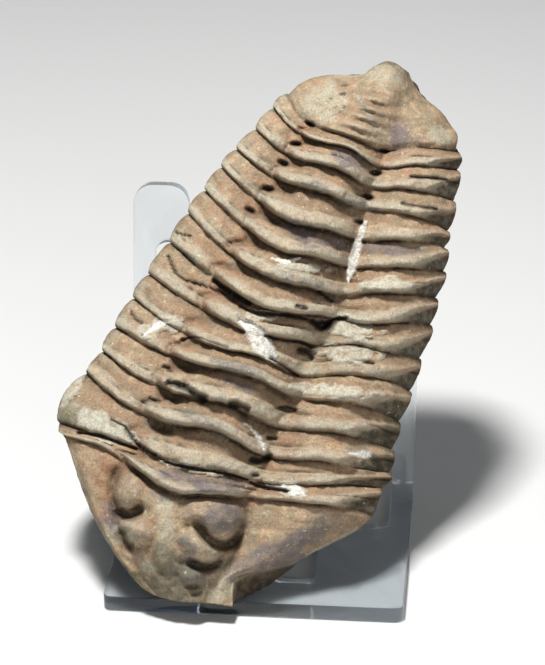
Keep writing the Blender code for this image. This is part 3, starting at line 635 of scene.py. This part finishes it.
def stains(x, y, row, place, step, phase, spots):
    """Masks of rust, purple, olive and bleached stone, and of dirt and painted shade in furrows.

    The half rings past the ledge get a browner tint, partly painted shade, and the facets at
    the right ends a dark painted shade.
    """
    trunk = ease(-0.4, 0.1, row) * ease(-0.2, 0.2, 14.1 - row)
    ragged = noise(spots, 2.0, 51, 3)
    left_furrow = bell(place, 0.215, 0.035) * ease(-0.5, 0.4, ragged)
    right_furrow = 0.7 * bell(place, 0.64, 0.05) * ease(-0.4, 0.6, ragged)
    head_furrow = bell(place, 0.19, 0.05) * (row < 0) * (row > -1.6)
    # The facet mask is painted shade: the right facets turn away from the light and are coloured dark.
    facet_end = 0.10 + 4.2 * (place - 0.85)
    facet = ease(0.87, 0.91, place) * ease(0.0, 0.10, facet_end - step)
    tips = ease(0.05, 0.0, place) * ease(-0.4, 0.3, ragged)
    on_axis = ease(0.20, 0.27, place) * ease(0.66, 0.58, place)
    # The dirt mask is part dirt and part painted shade: dark bands at the foot of each lip, wider on the
    # axis where the lips cast shadow, and dark shade by the right axial furrow.
    dirt_and_shade = bell(step, 1.0, 0.10 + 0.12 * on_axis) + bell(step, 0.0, 0.05)
    dirt_and_shade += 0.8 * bell(place, 0.595, 0.025) * ease(0.45, 0.75, step)
    # Past the ledge the half rings get a browner, slightly darker tint, partly painted shade where they
    # lie low under the next lip.
    past_ledge = ease(0.44, 0.54, phase) * ease(0.03, 0.08, place)
    return {"recess_tint_and_shade": trunk * past_ledge * ease(-0.9, 0.1, ragged),
            "rust": trunk * np.maximum(left_furrow, right_furrow) + head_furrow,
            "purple": patches(x, y, spots, PURPLE, 53),
            "grey": patches(x, y, spots, GREY, 59),
            "olive": patches(x, y, spots, OLIVE, 55),
            "facet": trunk * facet,
            "bleached": np.maximum(trunk * tips, patches(x, y, spots, BLEACHED, 57)),
            "dirt_and_shade": trunk * dirt_and_shade * ease(-0.6, 0.3, ragged)}


# %% [markdown]
# Now the broad shape of the back: its form, the ribs and the head's lobes. Rows are set
# closer together at the furrows, and columns over the raised middle. The furrows wander a
# little, and the left axial furrow swings from ring to ring.

# %% Broad shape of the back
HEAD_ROWS = 80
ROWS_A_SEGMENT = 21
TAIL_ROWS = 50
BACK_COLUMNS = 190
# noises: height in rows or in places, size in mm, seed, octaves
DRIFT_ALONG = ((0.04, 8.0, 3), (0.026, 2.0, 5, 2))
DRIFT_ACROSS = ((0.012, 3.2, 61),)
# size in places, start through the segment, middle and reach in places
SWING = (0.022, 0.3, 0.22, 0.08)
# height in mm at the sides of the tail, more on its axis, middle and reach in places
TAIL_HEIGHT = (1.6, 1.6, 0.42, 0.22)
# share of rib height, and the rows over which it sinks into the furrow behind the head
HEAD_STEP = (0.25, 0.10)

even = np.arange(ROWS_A_SEGMENT) / ROWS_A_SEGMENT
steps = even - 0.07 * np.sin(2 * np.pi * even) - 0.02 * np.sin(4 * np.pi * even)
rows = np.concatenate([np.linspace(-3, 0, HEAD_ROWS, endpoint=False),
                       (np.arange(14)[:, None] + steps).ravel(),
                       np.linspace(14, 17, TAIL_ROWS)])
places = np.interp(np.linspace(0, 1, BACK_COLUMNS), (0, 0.18, 0.74, 1), (0, 0.2, 0.64, 1))


def broad_shape(rows, places, x, y, spots):
    """z in mm, the wandering places, the step through a segment, its phase, and a mask of pits
    and deep furrows, which is painted as shade.

    z is form - slope y + rib height * section + lobes + knobs.
    """
    row = rows[:, None]
    inside = ease(0.0, 0.08, places) * ease(0.0, 0.06, 1 - places)
    wander = noises(spots, DRIFT_ALONG) * inside[None, :]
    size, start, middle, reach = SWING
    swing = np.cos(2 * np.pi * (row - start)) * bell(places, middle, reach)[None, :]
    place = places[None, :] + noises(spots, DRIFT_ACROSS) + size * swing

    form = curve(FORM_PLACES, curve(FORM_ROWS, FORM, rows).T, places).T
    tall = curve(RIB_HEIGHT_PLACES, np.array(RIB_HEIGHT)[:, None], places)[:, 0][None, :]
    side, more, middle, reach = TAIL_HEIGHT
    tail_tall = side + more * bell(places, middle, reach)[None, :]
    tall = tall + (tail_tall - tall) * ease(13.9, 14.5, row)
    for middle, reach, share in PINCHES:
        tall = tall * (1 - share * bell(place, middle, reach) * ease(14.1, 13.8, row))
    section, step, phase = rib_section(rows, places, wander)
    section = np.where(row < 0, HEAD_STEP[0] * (1 - bell(row, 0, HEAD_STEP[1])), section)
    section = np.where(row >= 14, tail_section(rows, places, wander), section)
    lobes, deep = head_relief(x, y)
    knobs, pits = knobs_and_pits(rows, place, wander)
    z = form - SLOPE_BACK * y + tall * section + lobes + knobs
    return z, place, step, phase, 1.2 * pits + deep


# %% [markdown]
# A thin crust has flaked off parts of the ribs, along their length, which leaves ragged
# ledges about a quarter of a millimetre high. Crests end in a torn rim over a narrow slit,
# furrows have a fine seam, and the head has a low rim along its cheeks and a grainy chin.

# %% Wear of the back
# heights in mm
CRUST, RIM, SLIT, SEAM, CHEEK_RIM, CHIN_GRAIN, STREAK = 0.28, 0.30, 0.50, 0.55, 0.4, 0.35, 0.09
UNEVEN = ((0.22, 6.0, 13, 2), (0.14, 1.4, 15, 2))


def wear(rows, places, x, spots, step, phase):
    """Height in mm that wear adds, and masks of where each kind is.

    Streaks and tears are noise stretched along the ribs, where a row counts as 6.5 mm and
    all the places as 60 mm.
    """
    row = rows[:, None]
    trunk = ease(-0.1, 0.1, row) * ease(-0.1, 0.1, 14.1 - row)
    lie = np.stack(np.broadcast_arrays(60 * places[None, :], 6.5 * row, 0.0), axis=-1)
    streaks = noise(lie * (1 / 7, 1 / 0.9, 0), 1.0, 17, 2)
    flaked = ease(-0.12, 0.12, noise(spots, 4.2, 7, 3) + 0.5 * streaks + 0.15)
    band = ease(0.06, 0.12, step) * ease(0.0, 0.08, 0.50 - step)
    crust = trunk * band * (1 - flaked * ease(0.25, 0.5, step))
    torn = trunk * ease(-0.4, 0.2, noise(lie * (1 / 9, 1 / 6.5, 0), 1.0, 19, 2))
    slit = torn * bell(phase, 0.455, 0.016)
    rim = torn * bell(phase, 0.415, 0.022)
    seam = np.maximum(bell(step, 0.0, 0.020), bell(step, 1.0, 0.032))
    seam = seam * trunk * ease(-0.5, 0.3, noise(spots, 3.0, 69, 2))
    cheek = (bell(places, 0.01, 0.014) + bell(places, 0.988, 0.014))[None, :]
    cheek = cheek * ease(-0.1, -0.5, row)
    cheek = cheek * ease(-0.6, 0.0, noise(spots, 2.0, 67, 2))
    chin = ease(-1.9, -2.5, row + 0.3 * noise(spots, 3.0, 63, 2))
    chin = chin * ease(-6.0, -10.0, x)
    height = CRUST * crust * ease(-0.2, 0.1, noise(spots, 2.6, 11, 3))
    height += RIM * rim - SLIT * slit - SEAM * seam + CHEEK_RIM * cheek
    height += CHIN_GRAIN * chin * noise(spots, 1.5, 65, 2)
    height += noises(spots, UNEVEN) + STREAK * streaks
    return height, {"crust": crust, "slit": slit, "rim": rim, "seam": seam, "cheek": cheek,
                    "chin": chin, "streaks": streaks}


# %% [markdown]
# The parts are added up. Scars are pressed to the level of the stone around them, and slabs
# partly fill what lies under them. A place below the average of its neighbours counts as a
# hollow, which the material paints darker as painted shade, and one above it as a ridge,
# which it paints lighter.

# %% The back of the animal
SCAR_BLUR = 7
HOLLOW_BLUR = 5
HOLLOW_DEPTH = 0.9
SLAB_FILL = 0.4


def blurred(grid, reach):
    """Grid averaged over reach neighbours each way, along both of its sides, twice.

    The mean over a window is the difference of two running sums over the window's length.
    """
    for _ in range(4):
        window = 2 * reach + 1
        total = np.cumsum(np.pad(grid, ((reach + 1, reach), (0, 0)), mode="edge"), axis=0)
        grid = ((total[window:] - total[:-window]) / window).T
    return grid


def make_back(rows, places):
    """Grid of x, y, z in the leaning frame in mm, and a dictionary of masks for the stone."""
    x, y = traced_grid(rows, places)
    spots = np.stack([x, y, np.zeros_like(x)], axis=-1)
    z, place, step, phase, hole_shade = broad_shape(rows, places, x, y, spots)
    height, worn = wear(rows, places, x, spots, step, phase)
    z = z + height

    height, cracks, scars, slabs = damage(x, y, spots)
    level = blurred(z, SCAR_BLUR)
    fill = SLAB_FILL * slabs * (1 - scars) * np.maximum(level - z, 0)
    z = z + height + scars * (level - z) + fill
    # The hollow mask is painted shade: it darkens places that lie below their neighbours.
    hollow_shade = np.clip((blurred(z, HOLLOW_BLUR) - z) / HOLLOW_DEPTH, -1, 1)
    fine_cracks = np.maximum(0.6 * worn["slit"], 0.55 * worn["seam"])
    masks = {"crest": worn["crust"], "hollow_shade": np.clip(hollow_shade, 0, 1),
             "ridge": np.clip(-hollow_shade, 0, 1), "crack": np.maximum(cracks, fine_cracks),
             "calcite": scars, "slab": slabs, "streak": 0.5 + 0.35 * worn["streaks"]}
    masks.update(stains(x, y, rows[:, None], place, step, phase, spots))
    masks["bleached"] = np.maximum(masks["bleached"], 0.6 * worn["rim"] + worn["cheek"])
    masks["olive"] = np.maximum(masks["olive"], 0.8 * worn["chin"])
    # Pits and deep furrows of the head join this mask as painted shade.
    masks["dirt_and_shade"] = np.clip(masks["dirt_and_shade"] + hole_shade, 0, 1)
    return x, y, z, masks


back_x, back_y, back_z, masks = make_back(rows, places)
print("back grid", back_x.shape, "z mm", round(back_z.min(), 1), round(back_z.max(), 1))

# %% [markdown]
# The sides and the underside are plain rock, the same mudstone that filled the animal. Each
# row of the back is carried on round a closed loop: down the right wall, across underneath
# and up the left wall. The walls draw in a little, so from the camera they stay hidden, but
# for the foot of rock under the chin, which the fossil stands on.

# %% Side walls and underside
SHEET = 3.0
BASE_DEPTH = 45.2
BACK_LEAN = math.radians(9.2)
STAND_HEIGHT = stand_high.z / MM
# the leaning frame faces the camera, whose place in it is EYE
LEAN = CAMERA_RISE
TURN = CAMERA_TURN
EYE = (3.7, 49.3, 557.8)
REST_GAP = 0.3
CLEAR_OF_LOBES = 3.0
ROCK_DEPTH = 14.6
ROCK_SIDE_SLOPE = 0.05
ROCK_WAVE = (0.8, 0.35, 0.22)
WALL_INSET = 0.904
END_THICKNESS = 2.4
TAPER_ROWS = (1.2, 1.6)
# row and reach of the foot of rock, and how far it stands out in x and y
CHIN_ROW = (-2.4, 0.45)
CHIN_FOOT = (5.0, -2.4)
WALL_COLUMNS = 12
ROCK_COLUMNS = 18
# noises on the rock and on the whole skin, as height, size in mm, seed and octaves
RUBBLE = ((0.75, 6.0, 21, 2), (0.30, 1.8, 23, 2))
GRAIN = ((0.07, 0.9, 25, 2),)


def round_the_rock(rows, x, y, z):
    """Closed loops of x, y, z: each row of the back, its walls, and the rock underneath.

    The rock lies ROCK_DEPTH down, though never below the plate it stands on. Towards both
    ends it rises to the rim along a quarter of an ellipse. At the chin a bell along the rows
    pulls its right edge out to a foot. The walls are straight lines from the back's edges to
    the rock's.
    """
    taper = np.clip(np.minimum((rows + 3) / TAPER_ROWS[0], (17 - rows) / TAPER_ROWS[1]), 0, 1)
    taper = np.sqrt(1 - (1 - taper)**2)[:, None]
    middle_x, middle_y = x.mean(axis=1, keepdims=True), y.mean(axis=1, keepdims=True)
    across = np.linspace(0, 1, ROCK_COLUMNS)[None, :]
    low_x = middle_x + (x[:, -1:] + (x[:, :1] - x[:, -1:]) * across - middle_x) * WALL_INSET
    low_y = middle_y + (y[:, -1:] + (y[:, :1] - y[:, -1:]) * across - middle_y) * WALL_INSET
    chin = bell(rows, *CHIN_ROW)[:, None] * (1 - across)
    low_x, low_y = low_x + CHIN_FOOT[0] * chin, low_y + CHIN_FOOT[1] * chin
    rim = np.minimum(z[:, :1], z[:, -1:]) - END_THICKNESS
    deep = (-ROCK_DEPTH - SLOPE_BACK * low_y + ROCK_SIDE_SLOPE * low_x
            + ROCK_WAVE[0] * np.sin(low_x * ROCK_WAVE[1]) * np.cos(low_y * ROCK_WAVE[2]))
    plate = (REST_GAP - low_y * math.cos(LEAN)) / math.sin(LEAN)
    deep = np.minimum(np.maximum(deep, plate), rim)
    low = (low_x, low_y, rim + (deep - rim) * taper)
    down = np.linspace(0, 1, WALL_COLUMNS + 2)[None, 1:-1]
    loops = []
    for top, bottom in zip((x, y, z), low):
        right_wall = top[:, -1:] + (bottom[:, :1] - top[:, -1:]) * down
        left_wall = bottom[:, -1:] + (top[:, :1] - bottom[:, -1:]) * down
        loops.append(np.concatenate([top, right_wall, bottom, left_wall], axis=1))
    return loops


def to_object(x, y, z):
    """From the leaning frame to the object's frame, in mm.

    Points that stand out by z move along their line to the eye, so the drawing stays true
    from there. Then x, y and z are measured along the frame's right, up and toward.
    """
    keep = 1 - z / EYE[2]
    x = EYE[0] + (x - EYE[0]) * keep
    y = EYE[1] + (y - EYE[1]) * keep
    right = np.array((math.cos(TURN), math.sin(TURN), 0))
    toward = np.array(direction(TURN, LEAN))
    up = np.cross(toward, right)
    start = np.array((*FRONT_EDGE, SHEET))
    return start + x[..., None] * right + y[..., None] * up + z[..., None] * toward


def kept_off_stand(spot):
    """Points moved up off the base plate and forward off the back, by a small gap."""
    spot[..., 2] = np.maximum(spot[..., 2], SHEET + REST_GAP)
    back = FRONT_EDGE[1] + BASE_DEPTH + (spot[..., 2] - SHEET) * math.tan(BACK_LEAN)
    over_lobes = np.maximum(spot[..., 2] - STAND_HEIGHT - CLEAR_OF_LOBES, 0)
    spot[..., 1] = np.minimum(spot[..., 1], back - REST_GAP / math.cos(BACK_LEAN)
                              + 2 * over_lobes)
    return spot


def outward(points):
    """Unit normals on the grid: the step across a row crossed with the step along the rows."""
    across = np.roll(points, -1, axis=1) - np.roll(points, 1, axis=1)
    along = np.gradient(points, axis=0)
    normal = np.cross(across, along)
    return normal / np.maximum(np.linalg.norm(normal, axis=-1, keepdims=True), 1e-9)


loops = round_the_rock(rows, back_x, back_y, back_z)
skin = to_object(*loops)
around = skin.shape[1]
on_rock = np.zeros(skin.shape[:2])
on_rock[:, BACK_COLUMNS:] = 1
down = np.linspace(0, 1, WALL_COLUMNS + 2)[1:-1]
wall_share = np.concatenate([np.zeros(BACK_COLUMNS), down, np.ones(ROCK_COLUMNS), down[::-1]])
wall_share = np.tile(wall_share, (len(rows), 1))
swell = noises(skin, RUBBLE) * ease(0, 0.5, wall_share) + noises(skin, GRAIN)
skin = skin + outward(skin) * swell[..., None]
skin = kept_off_stand(skin)
masks = {name: np.pad(mask, ((0, 0), (0, around - BACK_COLUMNS))) for name, mask in masks.items()}
# The walls and the underside get the rock matrix mask. Its colour is darker than the rock's own, partly
# painted shade under the overhanging back.
masks["matrix"] = ease(-0.02, 0.12, wall_share + 0.08 * noise(skin, 4.0, 27, 2) * on_rock)
print("skin", skin.shape, "mm", skin.min(axis=(0, 1)).round(1), skin.max(axis=(0, 1)).round(1))

# %% [markdown]
# The grid becomes one closed mesh: a ring of four-sided faces between each row and the next,
# and a fan of triangles at either end. The masks go with it as numbers on its points.

# %% Fossil mesh
def ring_mesh(name, points, values):
    """Closed mesh from rings of points in mm, with a fan at both ends and masks on its points.

    A fan's middle is the mean of its ring.
    """
    count, width = points.shape[:2]
    here = np.arange(count * width).reshape(count, width)
    beside = np.roll(here, -1, axis=1)
    quads = np.stack([here[:-1], beside[:-1], beside[1:], here[1:]], axis=-1).reshape(-1, 4)
    first, last = count * width, count * width + 1
    caps = [np.stack([np.full(width, first), beside[0], here[0]], axis=-1),
            np.stack([np.full(width, last), here[-1], beside[-1]], axis=-1)]
    spots = np.concatenate([points.reshape(-1, 3), points[:1].mean(axis=1),
                            points[-1:].mean(axis=1)]) * MM
    mesh = bpy.data.meshes.new(name)
    mesh.from_pydata(spots, [], quads.tolist() + np.concatenate(caps).tolist())
    for label, mask in values.items():
        ends = [mask[0].mean(), mask[-1].mean()]
        data = np.concatenate([mask.ravel(), ends]).astype(np.float32)
        mesh.attributes.new(label, "FLOAT", "POINT").data.foreach_set("value", data)
    mesh.shade_smooth()
    return placed(name, mesh)


fossil = ring_mesh("trilobite", skin, masks)
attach(fossil, "root")
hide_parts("fossil")
print("trilobite triangles", sum(len(p.vertices) - 2 for p in fossil.data.polygons))

# %% [markdown]
# The stone's colour is built in layers of the same few nodes, so small functions add them.
# The scale of each pattern is one over its real size, because the coordinates are metres.

# %% Layers of colour
def spots_of(tree, place, size, detail, roughness=0.5):
    """Noise texture with spots of a size in mm."""
    return node(tree, "ShaderNodeTexNoise", {"Vector": place, "Scale": 1 / (size * MM),
                                             "Detail": detail, "Roughness": roughness})


def ranged(tree, value, low, high, to_low=0.0, to_high=1.0):
    """Map low to high onto to_low to to_high by a straight line, and stop at both ends."""
    return node(tree, "ShaderNodeMapRange", {"Value": value, "From Min": low, "From Max": high,
                                             "To Min": to_low, "To Max": to_high})


def laid_over(tree, colour, tint, share):
    """Colour (1 - share) + tint share."""
    return node(tree, "ShaderNodeMix", {"Factor_Float": share, "A_Color": colour,
                                        "B_Color": linear(tint)}, data_type="RGBA")


def times(tree, value, factor):
    """Product of two numbers, held between 0 and 1."""
    return node(tree, "ShaderNodeMath", {"Value": value, "Value_001": factor},
                operation="MULTIPLY", use_clamp=True)


def dimmed(tree, colour, factor):
    """Colour times a number."""
    return node(tree, "ShaderNodeVectorMath", {"Vector": colour, "Scale": factor},
                operation="SCALE")


def mask_of(tree, name):
    """Number that the mesh keeps on its points under this name."""
    return node(tree, "ShaderNodeAttribute", attribute_name=name).outputs["Fac"]


# %% [markdown]
# The stone is ochre mudstone, a dried mud with iron in it, dug out with needles and brushes.
# It is dull and sandy. Iron stains it tan to rust, ribs keep a thin grey crust, furrows hold
# dark dirt and painted shade, and calcite shows white where it was knocked. Hollows and the
# right facets are darkened with painted shade, and the rock underneath partly so. Grains of
# sand go over all of it.

# %% Mudstone material
# colour, size in mm, and the noise value at which each cloud or grain begins
CLOUDS = (("857c63", 5.0, 0.50), ("9a765a", 3.6, 0.53), ("b39c7b", 2.0, 0.52))
GRAINS = (("c9c1ae", 0.7, 0.69), ("2c251d", 0.6, 0.69))
# mask, colour, strength, size in mm of the patches that break it up, and their share
STAINS = (
    # browner tint on the half rings, partly painted shade
    ("recess_tint_and_shade", "94745a", 0.45, 3.0, 0.3),
    ("crest", "a09a87", 0.78, 2.2, 0.38),
    ("ridge", "b0a693", 0.50, 1.2, 0.45),
    ("bleached", "a6a08b", 0.8, 1.6, 0.3),
    ("rust", "855c40", 0.8, 1.3, 0.35),
    ("purple", "675f60", 0.88, 1.8, 0.25),
    ("grey", "6f6c66", 0.8, 1.4, 0.35),
    ("slab", "b4b1a0", 0.9, 0.9, 0.4),
    ("olive", "5f5a44", 0.85, 1.4, 0.25),
    # painted shade on the right facets
    ("facet", "362f22", 0.88, 1.4, 0.2),
    # part dirt, part painted shade at the foot of each lip
    ("dirt_and_shade", "3a3022", 0.68, 0.9, 0.4),
    # painted shade in the hollows
    ("hollow_shade", "443828", 0.68, 1.4, 0.3),
    ("calcite", "dad8d0", 0.95, 0.6, 0.28),
    ("crack", "15110d", 0.95, 0.8, 0.1),
    # rock matrix, painted darker as shade under the overhang
    ("matrix", "382f23", 0.95, 2.0, 0.2),
)

stone, tree, shader, _ = new_material("ochre mudstone, weathered")
place = node(tree, "ShaderNodeTexCoord").outputs["Object"]
colour = linear("927d64")
for tint, size, low in CLOUDS:
    clouds = ranged(tree, spots_of(tree, place, size, 5.0, 0.65), low, low + 0.10, 0.0, 0.6)
    colour = laid_over(tree, colour, tint, clouds)
colour = dimmed(tree, colour, ranged(tree, mask_of(tree, "streak"), 0.25, 0.75, 0.84, 1.12))
for mask, tint, strength, size, broken in STAINS:
    whole = ranged(tree, spots_of(tree, place, size, 3.0), 0.35, 0.6, 1 - 2 * broken, 1.0)
    share = times(tree, times(tree, mask_of(tree, mask), whole), strength)
    colour = laid_over(tree, colour, tint, share)
for tint, size, low in GRAINS:
    grains = ranged(tree, spots_of(tree, place, size, 1.0), low, low + 0.08, 0.0, 0.5)
    colour = laid_over(tree, colour, tint, grains)
sand = spots_of(tree, place, 0.4, 3.0, 0.7)
colour = dimmed(tree, colour, ranged(tree, sand, 0.32, 0.68, 0.74, 1.2))
tree.links.new(colour.outputs["Vector"], shader.inputs["Base Color"])
shader.inputs["Roughness"].default_value = 0.82
shader.inputs["Specular IOR Level"].default_value = 0.35
bump = node(tree, "ShaderNodeBump", {"Height": sand, "Strength": 0.9, "Distance": 0.22 * MM})
tree.links.new(bump.outputs["Normal"], shader.inputs["Normal"])
fossil.data.materials.append(stone)
print("mudstone nodes", len(tree.nodes))

# %% [markdown]
# The stand is one piece of clear acrylic sheet, three millimetres thick: cut flat by laser
# with a window and a wide opening, then warmed along a line and bent up. It is built the same
# way. The flat outline is a curve object, thickened and with its edges eased, and each point
# is then moved to where the bend carries it.

# %% Acrylic stand
WIDTH = (stand_high.x - stand_low.x) / MM
BEND_RADIUS = 2.5
LEG_WIDTH = 4.2
OPENING_FRONT = 31.0
OPENING_TOP = 50.5
DIP_HEIGHT = 55.0
LOBE_WIDTH = 10.7
# how wide the base's window is, and where it begins and ends behind the front edge
WINDOW = (21.0, 9.5, 25.5)
EASED_EDGE = 0.2
BEND_TURN = math.pi / 2 - BACK_LEAN
BEND_START = BASE_DEPTH - BEND_RADIUS * math.tan(BEND_TURN / 2)
BEND_LENGTH = BEND_RADIUS * BEND_TURN
BEND_CUTS = 24


def along_at_height(height):
    """Distance along the sheet at which its upright back reaches a height."""
    bend_top = SHEET + BEND_RADIUS * (1 - math.cos(BEND_TURN))
    return BEND_START + BEND_LENGTH + (height - bend_top) / math.sin(BEND_TURN)


def bent(points):
    """Flat sheet points in mm (x, along, above the middle) where the bend takes them.

    Before the bend a point keeps its place. In it, it turns about the bend's centre by the
    distance passed over the radius. Past it, it runs straight on up the leaning back.
    """
    x, along, above = points.T
    depth = SHEET / 2 - above
    angle = np.clip((along - BEND_START) / BEND_RADIUS, 0, BEND_TURN)
    beyond = np.maximum(along - BEND_START - BEND_LENGTH, 0)
    radius = BEND_RADIUS + depth
    y = np.minimum(along, BEND_START) + radius * np.sin(angle) + beyond * math.cos(BEND_TURN)
    z = SHEET + BEND_RADIUS - radius * np.cos(angle) + beyond * math.sin(BEND_TURN)
    return np.stack([x + FRONT_EDGE[0], y + FRONT_EDGE[1], z], axis=1)


def rounded(corners, steps=10):
    """Outline through corners (x, y, radius), each rounded by an arc with its radius."""
    points = []
    for i, (x, y, radius) in enumerate(corners):
        here = Vector((x, y))
        to_last = (Vector(corners[i - 1][:2]) - here).normalized()
        to_next = (Vector(corners[(i + 1) % len(corners)][:2]) - here).normalized()
        half = to_last.angle(to_next) / 2
        centre = here + (to_last + to_next).normalized() * radius / math.sin(half)
        start = here + to_last * radius / math.tan(half) - centre
        stop = here + to_next * radius / math.tan(half) - centre
        for k in range(steps + 1):
            points.append(centre + start.slerp(stop, k / steps).normalized() * radius)
    return points


def make_stand():
    """The cut sheet as a thick flat mesh, divided along the bend and then bent."""
    half = WIDTH / 2
    top, dip = along_at_height(STAND_HEIGHT), along_at_height(DIP_HEIGHT)
    inner, leg = half - LOBE_WIDTH, half - LEG_WIDTH
    ceiling = along_at_height(OPENING_TOP)
    wide, front, back = WINDOW
    cuts = (
        [(-half, 0, 1.5), (half, 0, 1.5), (half, top, 3.8), (inner, top, 3.8),
         (inner, dip, 2.0), (-inner, dip, 2.0), (-inner, top, 3.8), (-half, top, 3.8)],
        [(-leg, OPENING_FRONT, 2.5), (leg, OPENING_FRONT, 2.5), (leg, ceiling, 2.5),
         (-leg, ceiling, 2.5)],
        [(-wide / 2, front, 1.2), (wide / 2, front, 1.2), (wide / 2, back, 1.2),
         (-wide / 2, back, 1.2)],
    )
    drawn = bpy.data.curves.new("sheet outline", "CURVE")
    drawn.dimensions = "2D"
    drawn.fill_mode = "BOTH"
    drawn.extrude = SHEET / 2 - EASED_EDGE
    drawn.bevel_depth = EASED_EDGE
    drawn.bevel_resolution = 2
    drawn.offset = -EASED_EDGE
    for cut in cuts:
        ring = rounded(cut)
        spline = drawn.splines.new("POLY")
        spline.points.add(len(ring) - 1)
        spline.use_cyclic_u = True
        for point, spot in zip(spline.points, ring):
            point.co = (spot.x, spot.y, 0.0, 1.0)
    flat = placed("sheet outline", drawn)
    mesh = bpy.data.meshes.new_from_object(flat.evaluated_get(
        bpy.context.evaluated_depsgraph_get()))
    bpy.data.objects.remove(flat, do_unlink=True)

    sheet = bmesh.new()
    sheet.from_mesh(mesh)
    bpy.data.meshes.remove(mesh)
    bmesh.ops.remove_doubles(sheet, verts=sheet.verts, dist=0.001)
    for k in range(BEND_CUTS + 1):
        line = BEND_START + BEND_LENGTH * k / BEND_CUTS
        bmesh.ops.bisect_plane(sheet, geom=sheet.verts[:] + sheet.edges[:] + sheet.faces[:],
                               dist=1e-5, plane_co=(0, line, 0), plane_no=(0, 1, 0))
    bmesh.ops.triangulate(sheet, faces=sheet.faces[:])
    bmesh.ops.recalc_face_normals(sheet, faces=sheet.faces[:])
    built = bpy.data.meshes.new("acrylic_stand")
    sheet.to_mesh(built)
    sheet.free()
    spots = np.zeros(len(built.vertices) * 3)
    built.vertices.foreach_get("co", spots)
    built.vertices.foreach_set("co", (bent(spots.reshape(-1, 3)) * MM).ravel())
    built.shade_smooth()
    built.set_sharp_from_angle(angle=math.radians(25))
    return placed("acrylic_stand", built)


stand = make_stand()
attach(stand, "root")
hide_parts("stand")
print("stand triangles", len(stand.data.polygons))

# %% [markdown]
# Cast acrylic is as clear as glass, with an index of 1.49. Seen through its faces it is
# almost colourless, and seen along the sheet, from edge to edge, it turns a cool grey blue,
# which is absorption over a long way through it. A small share of the light passes straight
# through unbent, which makes the sheet clearer. Handling leaves it very slightly hazy.

# %% Acrylic material
acrylic, tree, shader, end = new_material("cast acrylic, laser cut and bent")
shader.inputs["Base Color"].default_value = linear("fafcfd")
shader.inputs["Transmission Weight"].default_value = 1.0
shader.inputs["IOR"].default_value = 1.49
shader.inputs["Alpha"].default_value = 0.85
place = node(tree, "ShaderNodeTexCoord").outputs["Object"]
haze = ranged(tree, spots_of(tree, place, 7.0, 4.0), 0.4, 0.75, 0.01, 0.09)
tree.links.new(haze.outputs["Result"], shader.inputs["Roughness"])
tint = node(tree, "ShaderNodeVolumeAbsorption", {"Color": linear("b9d3e6"), "Density": 40.0})
tree.links.new(tint.outputs["Volume"], end.inputs["Volume"])
stand.data.materials.append(acrylic)
print("acrylic nodes", len(tree.nodes))
